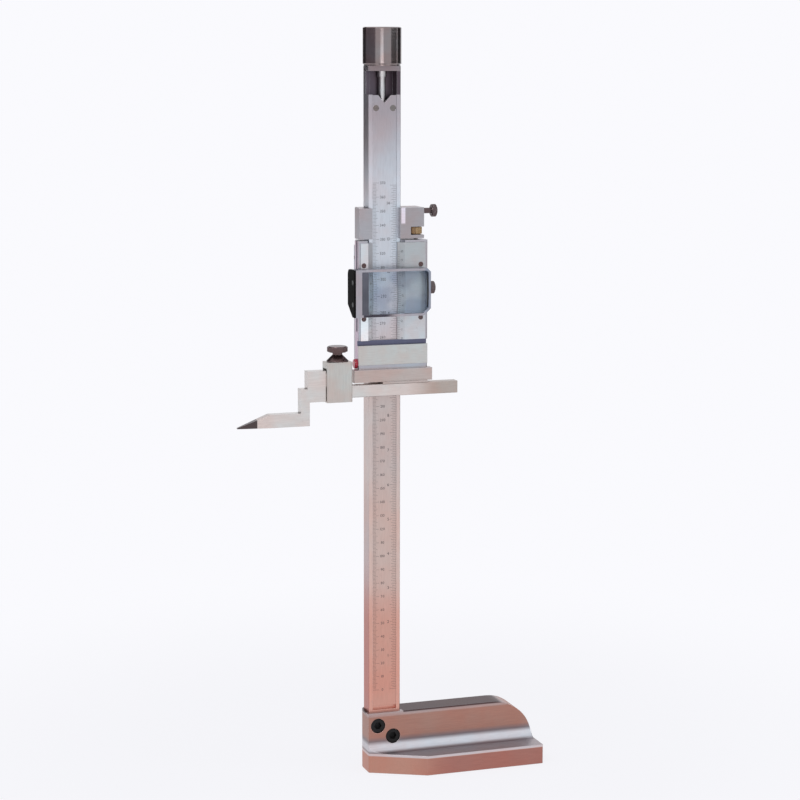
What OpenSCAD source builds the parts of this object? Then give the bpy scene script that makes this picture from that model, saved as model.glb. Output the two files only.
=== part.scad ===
// Vernier height gauge on a heavy foot with a side tail.
// The origin is on the table, under the middle of the column.
// X points along the tail, Y points to the back, Z points up.

/* [Fits] */
// Gap on each side of a sliding fit
slide_fit = 0.05; // [0.03:0.01:0.08]
// Gap all round a turning fit
turn_fit = 0.05; // [0.03:0.01:0.08]
// Gap all round a screw or pin that stays put
seat_fit = 0.02; // [0.01:0.01:0.03]
// Gap between pieces that pass each other
run_gap = 0.3; // [0.2:0.05:0.5]

/* [Column] */
// Width of the column across its scale face
column_w = 24; // [23:0.5:30]
// Depth of the column from front to back
column_d = 12; // [12:0.5:16]
// Height of the column's top end over the table
column_top = 508.4; // [470:1:700]
// Wall left behind the deep recess at the top
recess_wall = 2.5; // [2.4:0.1:3]
// Height of the deep recess below the top end
recess_h = 36; // [34:1:50]
// Height over which the column's left side wall is cut away at the top
recess_open_h = 16.4; // [14:0.1:18]
// How far that cut stays from the column's back
recess_open_back = 6; // [4:0.5:7]
// How far the groove's foot stays over the spine of the base
groove_foot = 1.5; // [1:0.5:4]
// Width of the small chamfer on the column's long edges
column_chamfer = 0.4; // [0.2:0.1:0.8]

/* [Base] */
// Length from the column's middle to the nose
nose_l = 14; // [13.8:0.2:20]
// Length from the column's middle to the square tail end
tail_l = 115.2; // [105:0.1:150]
// Width of the sole where it is widest
sole_w = 64; // [58:1:90]
// Width of the sole at the nose
nose_w = 26; // [25:1:36]
// Radius of the nose's front corner
nose_front_r = 2; // [1:0.5:4]
// Radius of the nose's back corner
nose_back_r = 11; // [8:0.5:11.5]
// Distance from the column's middle to where the sole reaches its full width
flare_l = 24.7; // [20:0.1:40]
// Height of the flat plinth
plinth_h = 14.5; // [10:0.5:18]
// Width of the raised spine
spine_w = 22; // [21.6:0.2:25]
// Height of the raised spine over the table
spine_h = 43.5; // [38:0.5:50]
// Chamfer along the top of the spine
spine_chamfer = 2; // [1:0.25:3]
// Radius of the cove between spine and plinth
cove_r = 7.5; // [5:0.5:8]
// Length of the curved tail of the spine
tail_curve_l = 30; // [25:1:45]
// Ledge left behind the curved tail
tail_ledge = 1; // [1:0.5:6]
// Height of the floor that the column stands on
pocket_floor = 14; // [12:0.5:16]
// Length of the hollow under the sole
relief_l = 62; // [30:1:70]
// Width of the hollow under the sole
relief_w = 34; // [20:1:44]
// Depth of the hollow under the sole
relief_d = 1; // [0.5:0.1:3]

/* [Column screws] */
// Shank of the screws that hold the column
column_screw_d = 6; // [5:0.5:6.5]
// Head of those screws
column_screw_head_d = 10; // [8.5:0.5:10.5]
// Height of those heads
column_screw_head_h = 4.5; // [3.8:0.1:4.6]
// Counterbore of those screws
column_screw_hole_d = 11; // [10.6:0.1:11.4]
// Distance of the upper screw from the column's middle, to the left
upper_screw_x = 6.5; // [5.8:0.1:7]
// Distance of the upper screw below the top of the spine
upper_screw_drop = 9.2; // [8:0.1:10]
// Distance of the lower screw from the column's middle, to the right
lower_screw_x = 5; // [4:0.1:6]
// Distance of the lower screw below the top of the spine
lower_screw_drop = 17.7; // [14.5:0.1:18.5]
// Width across the flats of their key holes
column_screw_key = 5; // [4:0.5:6]
// Depth of their key holes
column_screw_key_l = 3; // [2:0.5:3.5]

/* [Main scale] */
// Width of the scale strip
scale_w = 17.9; // [16:0.1:18.5]
// Thickness of the scale strip
scale_t = 2.4; // [2:0.1:3]
// How far the scale's face lies under the column's face
scale_sink = 0.3; // [0.1:0.1:0.6]
// How far the scale's lower end stays over the spine of the base
scale_foot = 4.5; // [4.1:0.1:20]
// How far the scale's upper end stays below the column's top end
scale_drop = 16.9; // [16:0.1:24]
// How far the scale can be set up or down
scale_travel = 2.5; // [1:0.5:2.5]
// Width of the bracket behind the scale's upper end
bracket_w = 17; // [15:0.5:17.2]
// Distance of the bracket's lower end below the scale's upper end
bracket_drop = 13; // [12:0.5:14]
// Distance of the bracket's upper end below the scale's upper end
bracket_sink = 5; // [4:0.5:5]
// Width of the notch in the scale's upper end
notch_w = 11; // [8:0.5:12]
// Depth of that notch
notch_d = 5.6; // [3:0.2:6]
// Shank of the two bracket screws
bracket_screw_d = 2.5; // [2:0.1:3]
// Head of the two bracket screws
bracket_screw_head_d = 4.4; // [4:0.1:4.6]
// Height of their heads
bracket_screw_head_h = 1.2; // [0.8:0.1:1.4]
// Length of their shanks
bracket_screw_l = 4.5; // [3:0.5:6]
// How far the two bracket screws stay from the scale's edges
bracket_screw_inset = 2.65; // [2.3:0.05:4]
// Distance of the bracket screws below the scale's upper end
bracket_screw_drop = 9; // [7.5:0.5:9.5]
// Shank of the screws that guide the scale from behind
guide_screw_d = 3; // [2.5:0.1:3.2]
// Head of the guide screws
guide_screw_head_d = 5.5; // [5:0.1:6]
// Height of the guide screws' heads
guide_screw_head_h = 1.7; // [1.2:0.1:1.8]
// Depth of the slots that their heads lie in
guide_slot_d = 2; // [1.9:0.1:2.4]
// How far the guide screws reach into the scale
guide_screw_grip = 1.8; // [1:0.1:1.9]
// Height of the lower guide screw
guide_low_z = 90; // [70:1:150]
// Distance of the upper guide screw below the scale's upper end
guide_high_drop = 48.5; // [40:0.5:130]

/* [Adjusting knob] */
// Thickness of the bearing cap on the column
cap_t = 3.6; // [3:0.2:6]
// Diameter of the adjusting knob
knob_d = 27.5; // [24:0.5:34]
// Height of the adjusting knob
knob_h = 26; // [20:0.5:34]
// Space between the cap and the knob
knob_lift = 0.9; // [0.7:0.1:2]
// Boss under the knob
knob_boss_d = 26; // [20:0.5:27]
// Chamfer on the knob's edges
knob_chamfer = 0.6; // [0.3:0.1:1.5]
// Diameter of the adjusting spindle
spindle_d = 5; // [4:0.1:5.2]
// How far the spindle reaches into the knob
spindle_grip = 14; // [8:1:18]
// Collar of the spindle under the cap
collar_d = 6.6; // [6.2:0.1:6.8]
// Height of the collar
collar_h = 4; // [2:0.5:6]
// How far the spindle reaches through the bracket
spindle_through = 14; // [8:1:16]
// Shank of the two cap screws
cap_screw_d = 1.6; // [1.4:0.1:1.8]
// Head of the two cap screws
cap_screw_head_d = 3; // [2.6:0.1:3]
// Height of their heads
cap_screw_head_h = 1.2; // [0.8:0.1:1.6]
// Length of their shanks
cap_screw_l = 8; // [6:0.5:12]
// How far the cap screws stay from the column's sides
cap_screw_inset = 2; // [1.9:0.1:2.2]
// How far the cap screws stay from the column's back
cap_screw_back = 1.6; // [1.6:0.1:1.8]
// Diameter of the knob's grub screw
grub_d = 3; // [2.5:0.1:4]
// Length of the grub screw
grub_l = 7; // [5:0.5:8]
// Height of the grub screw over the knob's lower end
grub_rise = 7; // [5:0.5:10]

/* [Slider] */
// Reach of the slider to the left of the column's middle
slider_l = 21; // [20.5:0.5:26]
// Reach of the slider to the right of the column's middle
slider_r = 31; // [30.5:0.5:38]
// Distance from the column's middle plane to the slider's front
slider_front = 10; // [9.6:0.2:12]
// Height of the slider's foot over the table
slider_bottom = 288.8; // [250:0.1:290]
// Height of the slider's top
slider_top = 389.4; // [384:0.1:395]
// How far the left cheek stays in front of the column's middle plane
cheek_back = 2; // [1:0.5:3]
// Thickness of the left guide wall
guide_wall = 5; // [4:0.5:7]
// Half of the window's width
window_half = 14; // [13.5:0.1:15]
// Height of the window's foot
window_bottom = 318.3; // [316:0.1:320]
// Height of the dark groove under the verniers
groove_h = 3.5; // [3:0.1:4]
// Depth of the dark groove under the verniers
groove_depth = 2.5; // [1:0.1:3]
// How far the foot flange stands out to the left of the slider
flange_left = 4; // [3:0.5:4]
// How far the foot flange stands out to the right of the slider
flange_right = 2.7; // [2:0.1:5]
// How far the foot flange stands out to the front
flange_front = 3; // [2:0.5:4]
// Height of the foot flange
flange_h = 9; // [8:0.1:10]
// Chamfer on the slider's front edges
slider_chamfer = 0.6; // [0.3:0.1:1]
// Thickness of the slider's back plate
back_plate_t = 3; // [2.5:0.5:5]
// How far the back plate reaches over the right cheek
back_plate_right = 9; // [8:0.5:12]
// How far the back plate stays below the top and over the foot
back_plate_margin = 4; // [2:0.5:10]
// Shank of the back plate's screws
back_screw_d = 3; // [2.5:0.1:3.2]
// Head of the back plate's screws
back_screw_head_d = 5.4; // [5:0.1:6]
// Height of their heads
back_screw_head_h = 1.6; // [1:0.1:2]
// Length of their shanks
back_screw_l = 7; // [5:0.5:9]
// How far the back plate's screws stay from its ends
back_screw_inset = 9; // [6:0.5:14]
// Thickness of the gib strip
gib_t = 1; // [0.8:0.1:1.5]
// Depth of the gib strip from front to back
gib_w = 10; // [8:0.5:11]
// How far the gib strip stays from the slider's ends
gib_margin = 2; // [1:0.5:5]
// Diameter of the gib screws
gib_screw_d = 3; // [2.5:0.1:3.5]
// How far the gib screws stand out
gib_screw_out = 0.6; // [0.4:0.1:1]
// How far the gib screws stay from the slider's ends
gib_screw_inset = 24; // [20:1:30]
// Distance of the gib screws behind the column's middle plane
gib_screw_y = 2; // [1:0.5:3]

/* [Verniers] */
// Reach of the metric vernier plate to the left
metric_reach = 19.3; // [18:0.1:20]
// Reach of the inch vernier plate to the right
inch_reach = 29.2; // [28:0.1:29.8]
// Distance of the vernier edges from the column's middle
vernier_edge = 9.3; // [9:0.1:9.8]
// Where the bevel of the vernier plates starts
vernier_bevel = 13.7; // [12:0.1:13.8]
// How far the vernier plates stand out of the slider's face
vernier_proud = 0.4; // [0.2:0.1:0.6]
// Depth of the pockets that the vernier plates lie in
vernier_pocket = 1.1; // [0.8:0.1:1.4]
// Height of the vernier plates' thin edge
vernier_lip = 0.5; // [0.3:0.1:0.8]
// Gap between the vernier plates and the scale face of the column
vernier_clear = 0.4; // [0.3:0.1:0.6]
// How far the verniers stay below the slider's top
vernier_top_margin = 1.6; // [1:0.2:4]
// Height of the blank plate under the verniers
blank_h = 14; // [12:0.2:14.4]
// How far the blank plate stands out of the slider's face
blank_proud = 0.4; // [0.2:0.1:0.8]
// Depth of the pocket of the blank plate
blank_pocket = 0.8; // [0.5:0.1:1.2]
// Shank of the vernier screws
vernier_screw_d = 2; // [1.6:0.1:2.2]
// Head of the vernier screws
vernier_screw_head_d = 3.6; // [3:0.1:4]
// Height of the vernier screws' heads
vernier_screw_head_h = 0.7; // [0.5:0.1:0.9]
// Length of the vernier screws' shanks
vernier_screw_l = 2; // [1.5:0.1:2.2]
// Distance of the left vernier screws from the column's middle
metric_screw_x = 16.9; // [16.5:0.1:17]
// Distance of the right vernier screws from the column's middle
inch_screw_x = 25.8; // [24:0.1:26]
// Height of the lower vernier screws
vernier_screw_low_z = 334; // [325:0.5:334.5]
// Height of the upper vernier screws
vernier_screw_high_z = 372; // [371.5:0.5:380]

/* [Jaw bar] */
// How far the jaw bar's left end stays inside the clamp box
jaw_inset = 3.2; // [1:0.2:6]
// Reach of the jaw bar to the right
jaw_r = 52.6; // [45:0.5:80]
// Height of the jaw bar
jaw_h = 8.7; // [6:0.1:9]
// Depth of the jaw bar from front to back
jaw_w = 8; // [7:0.5:10]
// Gap between the column's face and the jaw bar
jaw_clear = 0.5; // [0.3:0.1:1]
// Gap between jaw bar and foot flange beside the boss
jaw_seam = 1.4; // [1:0.1:2]
// Chamfer on the jaw bar's edges
jaw_chamfer = 0.4; // [0.2:0.1:0.8]
// Left end of the boss between them, from the column's middle
jaw_boss_l = 4; // [3:0.5:8]
// Right end of that boss, from the column's middle
jaw_boss_r = 30; // [28:0.5:30]
// Shank of the jaw screws
jaw_screw_d = 3; // [2.5:0.1:3.5]
// Head of the jaw screws
jaw_screw_head_d = 5.4; // [5:0.1:5.6]
// Height of the jaw screws' heads
jaw_screw_head_h = 3; // [2:0.1:3.4]
// How deep the jaw screws reach into the flange
jaw_screw_grip = 6; // [4:0.5:8]
// Distance of the first jaw screw from the column's middle
jaw_screw_first = 5; // [3:0.5:8]
// Distance between the two jaw screws
jaw_screw_pitch = 18; // [12:1:20]
// Width across the flats of their key holes
jaw_screw_key = 2.5; // [2:0.5:3]
// Diameter of the seal plug
plug_d = 7; // [5:0.1:7.4]
// How far the seal plug stands out
plug_out = 2; // [1:0.1:2.6]
// Depth of the seal plug's hole
plug_hole = 2; // [1:0.1:3]

/* [Clamp screws] */
// Diameter of the knurled heads
clamp_head_d = 9; // [8:0.2:10]
// Length of the knurled heads
clamp_head_l = 4; // [3:0.2:6]
// Diameter of the clamp screws' shanks
clamp_shank_d = 4; // [3:0.1:4]
// Diameter of the brass shoes
shoe_d = 4; // [3:0.1:4]
// Length of the brass shoes
shoe_l = 3.4; // [2.5:0.1:4]
// Gap between a shoe and what it presses on
shoe_clear = 0.1; // [0.08:0.01:0.15]
// How far the slider's clamp head stands off the slider
slider_head_off = 4.6; // [1:0.1:8]
// Height of the slider's clamp screw
slider_clamp_z = 354.1; // [352:0.1:357]
// How far the carriage's clamp head stands off the carriage
carriage_head_off = 7.4; // [5:0.1:9]
// Distance of the carriage's clamp screw below the carriage's top
carriage_clamp_drop = 2.8; // [2.7:0.1:3]
// Number of ribs on the knurled heads
knurl_ribs = 30; // [24:2:40]
// Depth of the knurls
knurl_depth = 0.25; // [0.1:0.05:0.4]

/* [Fine feed] */
// Reach of the carriage to the left
carriage_l = 20; // [19.5:0.5:24]
// How far the carriage's right side stays inside the slider's right side
carriage_short = 2.7; // [0.6:0.1:3]
// Height of the carriage
carriage_h = 21.8; // [21:0.1:30]
// Gap between slider and carriage at rest
carriage_gap = 1.2; // [1.1:0.1:2]
// Depth behind the column's middle plane of the carriage's left cheek
carriage_cheek_back = 1; // [0:0.5:3]
// Thickness of the carriage's back
carriage_back_t = 3; // [2.5:0.5:5]
// Half of the opening in the carriage's front
carriage_window_half = 10.5; // [10:0.1:11.5]
// Distance of the feed spindle from the slider's right side
feed_inset = 7; // [6.5:0.1:8]
// Distance of the feed spindle in front of the column's middle plane
feed_y = 4; // [3:0.5:4.5]
// Diameter of the feed spindle
feed_d = 3; // [2.5:0.1:3.2]
// How deep the feed spindle sits in the slider
feed_root = 12; // [8:1:20]
// How far the feed spindle stands over the slider
feed_stand = 16.4; // [15:0.1:16.6]
// Diameter of the feed nut
nut_d = 9; // [8:0.2:10]
// Height of the feed nut
nut_h = 5.6; // [4.6:0.1:6]
// Thickness of the carriage's floor under the nut
nut_floor = 2.4; // [0.8:0.1:2.6]
// Gap over and under the nut
nut_play = 0.08; // [0.05:0.01:0.1]
// Left end of the nut's slot, from the spindle
nut_slot_l = 5.6; // [5.4:0.1:6]

/* [Magnifier] */
// Thickness of the magnifier's left arm
arm_t = 4.6; // [3:0.1:6]
// Front of the arm, from the column's middle plane
arm_front = 20; // [18:0.5:26]
// Back end of the arm, in front of the column's middle plane
arm_back = 4.5; // [3:0.1:4.9]
// Height of the magnifier's lower side
lens_bottom = 336.2; // [335:0.1:336.4]
// Height of the magnifier
lens_h = 33.6; // [30:0.1:35.8]
// Radius of the arm's upper back corner
arm_r = 4; // [2:0.5:6]
// Depth of the cut on the arm's lower back corner
arm_cut_l = 11; // [8:0.5:12]
// Height of that cut
arm_cut_h = 8.5; // [6:0.5:10]
// Thickness of the black cover on the arm
cover_t = 1.2; // [1.1:0.1:2.5]
// Thickness of the rails and the post around the glass
rail_t = 1.6; // [1.2:0.1:3]
// Depth of the rails from front to back
rail_w = 6; // [5:0.5:7]
// How far the rails stay behind the arm's front
rail_inset = 0.6; // [0.3:0.1:2]
// Reach of the magnifier to the right
lens_r = 30.3; // [30:0.1:30.4]
// Cut on the frame's lower right corner
lens_low_cut = 5; // [3:0.5:8]
// Cut on the frame's upper right corner
lens_high_cut = 2.5; // [2:0.5:4]
// Width of the black holder left of the glass
holder_w = 5.1; // [3:0.1:7]
// Thickness of the glass at its ends
glass_t = 2.6; // [2:0.1:3]
// How far the glass bulges to the front
glass_bulge = 3.4; // [2:0.1:3.6]
// Width of the guide tongue of the arm
tongue_w = 2.9; // [2:0.1:3]
// Depth of the guide tongue
tongue_d = 1.5; // [1:0.1:2]
// Distance of the tongue's middle in front of the column's middle plane
tongue_y = 6.5; // [6.4:0.1:6.8]
// How far the magnifier can slide down
lens_down = 11; // [5:1:11]
// Shank of the magnifier's screws
lens_screw_d = 2; // [1.6:0.1:2.4]
// Head of the magnifier's screws
lens_screw_head_d = 3.6; // [3:0.1:4]
// Height of their heads
lens_screw_head_h = 0.8; // [0.6:0.1:1]
// How far the magnifier's screws stay from its upper and lower side
lens_screw_inset = 9; // [6:0.5:12]
// Distance of the magnifier's screws behind the arm's front
lens_screw_y = 4; // [3:0.5:5]

/* [Scriber clamp] */
// Gap between the clamp box and the slider's foot
box_gap = 2.4; // [1.8:0.2:3.2]
// Width of the clamp box
box_w = 18.8; // [16:0.2:18.9]
// Thickness of the box's front and back walls
box_wall = 1.8; // [1.5:0.1:3]
// Thickness of the box's floor
box_floor = 2.7; // [2:0.1:4]
// Thickness of the box's roof
box_roof = 4.5; // [4:0.5:8]
// Chamfer on the box's upright edges
box_chamfer = 0.6; // [0.3:0.1:1]
// Thickness of the pad under the clamp screw
pad_t = 2.8; // [2:0.1:4]
// Length of the pad
pad_l = 8; // [5:0.5:10]
// Diameter of the clamp screw
clamp_screw_d = 5; // [4:0.1:6]
// Diameter of the clamp screw's head
clamp_knob_d = 14.7; // [12:0.1:18]
// Height of the clamp screw's head
clamp_knob_h = 4.2; // [3:0.1:8]
// Diameter of the clamp screw's neck
clamp_neck_d = 7; // [5.5:0.1:9]
// Height of the clamp screw's neck
clamp_neck_h = 1.8; // [1:0.1:4]
// Diameter of the clamp screw's skirt
clamp_skirt_d = 15.5; // [12:0.1:18]
// Height of the cone over the skirt
clamp_cone_h = 4.2; // [3:0.1:6]
// Height of the skirt's rim
clamp_rim_h = 0.5; // [0.3:0.1:1]

/* [Scriber] */
// Height of the scriber's shank
shank_h = 9.5; // [8:0.5:11]
// How far the shank's end stays inside the box's right side
shank_inset = 1; // [0.5:0.1:3]
// Width of the scriber's upper block
block_w = 13.5; // [10:0.5:16]
// How far the upper block stands over the shank
block_rise = 1.8; // [1:0.1:3]
// Height of the scriber's upper block
block_h = 22; // [18:0.1:23]
// Width of the scriber's leg
leg_w = 6.5; // [5:0.1:8]
// How far the leg stands out to the left of the block
leg_out = 5; // [3:0.1:5.5]
// How far the leg's shoulder lies below the block's top
leg_drop = 12.4; // [10:0.1:14]
// Height of the blade's lower side over the table
blade_bottom = 259.9; // [256:0.1:262]
// Height of the blade
blade_h = 9.3; // [7:0.1:11]
// Length of the blade from the leg's left side to the tip
blade_l = 45.6; // [40:0.2:60]
// Length of the blade's bevel
bevel_l = 23.2; // [16:0.2:28]
// Thickness of the blade at its tip
tip_t = 0.7; // [0.4:0.1:1.5]
// Width of the blade at its tip
tip_w = 2; // [1:0.5:4]
// Length of the hard tip
tip_l = 14; // [8:0.5:15]

/* [Hidden] */

$fn = 48;
// Overrun of every cut past the face that it opens
over = 1;
arc_steps = 6;
curve_steps = 24;

half_w = column_w / 2;
half_d = column_d / 2;
groove_d = scale_sink + scale_t + slide_fit;
groove_w = scale_w + 2 * slide_fit;
groove_bottom = spine_h + groove_foot;
recess_bottom = column_top - recess_h;
recess_back = half_d - recess_wall;
scale_face = half_d - scale_sink;
scale_back = scale_face - scale_t;
scale_bottom = spine_h + scale_foot;
scale_top = column_top - scale_drop;
guide_high_z = scale_top - guide_high_drop;
column_screw_places = [
    [-upper_screw_x, spine_h - upper_screw_drop], [lower_screw_x, spine_h - lower_screw_drop]
];
front_wall = spine_w / 2 - half_d;
screw_slot = 2 * scale_travel + slide_fit;

cap_top = column_top + cap_t;
knob_bottom = cap_top + knob_lift;
knob_top = knob_bottom + knob_h;
collar_top = column_top - slide_fit;
bracket_bottom = scale_top - bracket_drop;
bracket_top = scale_top - bracket_sink;
bracket_screw_x = scale_w / 2 - bracket_screw_inset;

guide_in = half_w + slide_fit;
gib_in = guide_in + gib_t;
guide_y = half_d + slide_fit;
slider_face = -slider_front;
flange_top = slider_bottom + flange_h;
blank_top = window_bottom - groove_h;
vernier_top = slider_top - vernier_top_margin;
vernier_bottom = window_bottom + slide_fit;
shoe_face = half_w + shoe_clear;
clamp_tip = shoe_face + shoe_l + run_gap;
slider_head_x = slider_r + slider_head_off;

jaw_top = slider_bottom - jaw_seam;
jaw_bottom = jaw_top - jaw_h;
jaw_back = -(half_d + jaw_clear);
jaw_front = jaw_back - jaw_w;
jaw_middle = (jaw_front + jaw_back) / 2;

carriage_bottom = slider_top + carriage_gap;
carriage_top = carriage_bottom + carriage_h;
carriage_clamp_z = carriage_top - carriage_clamp_drop;
carriage_r = slider_r - carriage_short;
carriage_head_x = carriage_r + carriage_head_off;
feed_x = slider_r - feed_inset;
nut_bottom = carriage_bottom + nut_floor + nut_play;
nut_top = nut_bottom + nut_h;

arm_outer = slider_l + run_gap + arm_t;
arm_inner = slider_l + run_gap;
lens_top = lens_bottom + lens_h;
cover_outer = arm_outer + cover_t;
glass_left = arm_inner - holder_w;
rail_front = arm_front - rail_inset;
rail_back = rail_front - rail_w;
post_back = slider_front + vernier_proud + run_gap;

box_bottom = jaw_bottom - slide_fit - box_floor;
shank_bottom = jaw_top + slide_fit;
shank_top = shank_bottom + shank_h;
pad_bottom = shank_top + shoe_clear;
pad_top = pad_bottom + pad_t;
box_cavity_top = pad_top + run_gap;
box_top = box_cavity_top + box_roof;
box_r = slider_l + flange_left + box_gap;
box_l = box_r + box_w;
box_front = jaw_front - slide_fit - box_wall;
box_back = jaw_back + slide_fit + box_wall;
clamp_x = -(box_l + box_r) / 2;

block_l = box_l + run_gap + block_w;
block_top = shank_top + block_rise;
leg_l = block_l + leg_out;
leg_top = block_top - leg_drop;
tip_x = leg_l + blade_l;
blade_top = blade_bottom + blade_h;

// A block from its lowest to its highest corner
module block(low, high)
    translate(low)
        cube(high - low);

// Rods that start at a point and run along one axis
module rod_z(at, d, l)
    translate(at)
        cylinder(d = d, h = l);

module rod_x(at, d, l)
    translate(at)
        rotate([0, 90, 0])
            cylinder(d = d, h = l);

module rod_y(at, d, l)
    translate(at)
        rotate([-90, 0, 0])
            cylinder(d = d, h = l);

// An outline in Y and Z, carried along X
module along_x(from, to)
    translate([from, 0, 0])
        rotate([90, 0, 90])
            linear_extrude(to - from)
                children();

// An outline in X and Z, carried along Y
module along_y(from, to)
    translate([0, to, 0])
        rotate([90, 0, 0])
            linear_extrude(to - from)
                children();

// An outline in X and Y, carried up
module along_z(from, to)
    translate([0, 0, from])
        linear_extrude(to - from)
            children();

// A rectangle with its four corners cut off
module cut_rect(low, high, cut)
    polygon([
        [low[0] + cut, low[1]], [high[0] - cut, low[1]], [high[0], low[1] + cut],
        [high[0], high[1] - cut], [high[0] - cut, high[1]], [low[0] + cut, high[1]],
        [low[0], high[1] - cut], [low[0], low[1] + cut]
    ]);

// Points of an arc about a centre
function arc(centre, r, from, to) = [
    for (i = [0 : arc_steps])
        let (a = from + (to - from) * i / arc_steps)
            centre + r * [cos(a), sin(a)]
];

// A ribbed disc: its rim goes in and out once for each rib
module ribbed(d, depth)
    polygon([
        for (i = [0 : 2 * knurl_ribs - 1])
            let (a = 180 * i / knurl_ribs)
                (d / 2 - (i % 2) * depth) * [cos(a), sin(a)]
    ]);

// A knurled head along Z: ribs round a core that ends in a plain cone on each side
module knurled_head(d, l) {
    ends = 2 * knurl_depth;
    core = d / 2 - ends;
    translate([0, 0, ends])
        linear_extrude(l - 2 * ends)
            ribbed(d, knurl_depth);
    rotate_extrude()
        polygon([
            [0, 0], [core - ends, 0], [core, 2 * ends],
            [core, l - 2 * ends], [core - ends, l], [0, l]
        ]);
}

// A slot head screw along Z: shank below zero, head above it
module slot_screw(d, l, head_d, head_h)
    difference() {
        union() {
            translate([0, 0, -l])
                cylinder(d = d, h = l);
            cylinder(d = head_d, h = head_h);
        }
        translate([-head_d, -head_d / 12, head_h / 2])
            cube([2 * head_d, head_d / 6, head_h]);
    }

// A socket head screw along Z: shank below zero, head above it
module socket_screw(d, l, head_d, head_h, key, key_l)
    difference() {
        union() {
            translate([0, 0, -l])
                cylinder(d = d, h = l);
            cylinder(d = head_d, h = head_h);
        }
        translate([0, 0, head_h - key_l])
            cylinder(d = key / cos(30), h = key_l + over, $fn = 6);
    }

// Turns a piece from Z to face the front, the right or the back
module face_front(at)
    translate(at)
        rotate([90, 0, 0])
            children();

module face_back(at)
    translate(at)
        rotate([-90, 0, 0])
            children();

// Plan of the sole: a round-cornered nose that widens to a square tail
module sole_plan() {
    front = arc([nose_front_r - nose_l, nose_front_r - nose_w / 2], nose_front_r, 180, 270);
    back = arc([nose_back_r - nose_l, nose_w / 2 - nose_back_r], nose_back_r, 90, 180);
    polygon(concat(
        front,
        [[flare_l, -sole_w / 2], [tail_l, -sole_w / 2], [tail_l, sole_w / 2], [flare_l, sole_w / 2]],
        back
    ));
}

// Side view of the spine: level, then a quarter ellipse down to the plinth
module spine_side() {
    tail_end = tail_l - tail_ledge;
    curve_start = tail_end - tail_curve_l;
    rise = spine_h - plinth_h;
    polygon(concat(
        [[-nose_l, 0], [-nose_l, spine_h]],
        [
            for (i = [0 : curve_steps])
                let (a = 90 - 90 * i / curve_steps)
                    [curve_start + tail_curve_l * cos(a), plinth_h + rise * sin(a)]
        ],
        [[tail_end, 0]]
    ));
}

// Cross-section of the spine with its chamfered top
module spine_section() {
    w = spine_w / 2;
    c = spine_chamfer;
    polygon([
        [-w, 0], [w, 0], [w, spine_h - c], [w - c, spine_h], [c - w, spine_h], [-w, spine_h - c]
    ]);
}

// Cross-section of the coves: a bar along the spine, without two round hollows
module cove_bar() {
    reach = spine_w / 2 + cove_r;
    difference() {
        block([-nose_l, -reach, 0], [tail_l, reach, plinth_h + cove_r]);
        for (side = [-1, 1])
            rod_x(
                [-nose_l - over, side * reach, plinth_h + cove_r], 2 * cove_r,
                nose_l + tail_l + 2 * over
            );
    }
}

module base()
    color([0.71, 0.58, 0.53])
        difference() {
            union() {
                along_z(0, plinth_h)
                    sole_plan();
                intersection() {
                    along_z(0, spine_h)
                        sole_plan();
                    along_y(-sole_w / 2, sole_w / 2)
                        spine_side();
                    union() {
                        along_x(-nose_l, tail_l)
                            spine_section();
                        cove_bar();
                    }
                }
            }
            block([-half_w, -half_d, pocket_floor], [half_w, half_d, spine_h + over]);
            for (p = column_screw_places) {
                rod_y([p[0], -spine_w / 2 - over, p[1]], column_screw_hole_d, front_wall + 2 * over);
                rod_y([p[0], 0, p[1]], column_screw_d + 2 * seat_fit, spine_w / 2 - over);
            }
            block([flare_l, -relief_w / 2, -over], [flare_l + relief_l, relief_w / 2, relief_d]);
        }

module column()
    color([0.78, 0.74, 0.74])
        difference() {
            along_z(pocket_floor, column_top)
                cut_rect([-half_w, -half_d], [half_w, half_d], column_chamfer);
            block(
                [-groove_w / 2, -half_d - over, groove_bottom],
                [groove_w / 2, groove_d - half_d, column_top + over]
            );
            block(
                [-groove_w / 2, -half_d - over, recess_bottom],
                [groove_w / 2, recess_back, column_top + over]
            );
            block(
                [-half_w - over, -half_d - over, column_top - recess_open_h],
                [0, half_d - recess_open_back, column_top + over]
            );
            for (p = column_screw_places)
                rod_y([p[0], -half_d - over, p[1]], column_screw_d + 2 * turn_fit, column_d + 2 * over);
            for (z = [guide_low_z, guide_high_z]) {
                guide_slot(z, guide_screw_head_d + 2 * slide_fit, half_d - guide_slot_d, half_d + over);
                guide_slot(z, guide_screw_d + 2 * slide_fit, -half_d, half_d);
            }
            for (side = [-1, 1])
                rod_z(
                    cap_screw_at(side, column_top - cap_screw_l), cap_screw_d + 2 * seat_fit,
                    cap_screw_l + over
                );
        }

// A slot along Z with round ends, cut from front to back
module guide_slot(z, w, from, to) {
    for (end = [-1, 1])
        rod_y([0, from, z + end * screw_slot / 2], w, to - from);
    block([-w / 2, from, z - screw_slot / 2], [w / 2, to, z + screw_slot / 2]);
}

function cap_screw_at(side, z) = [side * (half_w - cap_screw_inset), half_d - cap_screw_back, z];

module column_screws()
    color([0.08, 0.08, 0.09])
        for (p = column_screw_places)
            face_front([p[0], -half_d, p[1]])
                socket_screw(
                    column_screw_d, half_d + spine_w / 2 - over, column_screw_head_d,
                    column_screw_head_h, column_screw_key, column_screw_key_l
                );

module bearing_cap()
    color([0.72, 0.72, 0.74])
        difference() {
            along_z(column_top, cap_top)
                cut_rect([-half_w, -half_d], [half_w, half_d], column_chamfer);
            rod_z([0, 0, column_top - over], spindle_d + 2 * turn_fit, cap_t + 2 * over);
            for (side = [-1, 1]) {
                rod_z(
                    cap_screw_at(side, column_top - over), cap_screw_d + 2 * seat_fit, cap_t + 2 * over
                );
                rod_z(
                    cap_screw_at(side, cap_top - cap_screw_head_h), cap_screw_head_d + 2 * seat_fit,
                    cap_t
                );
            }
        }

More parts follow.
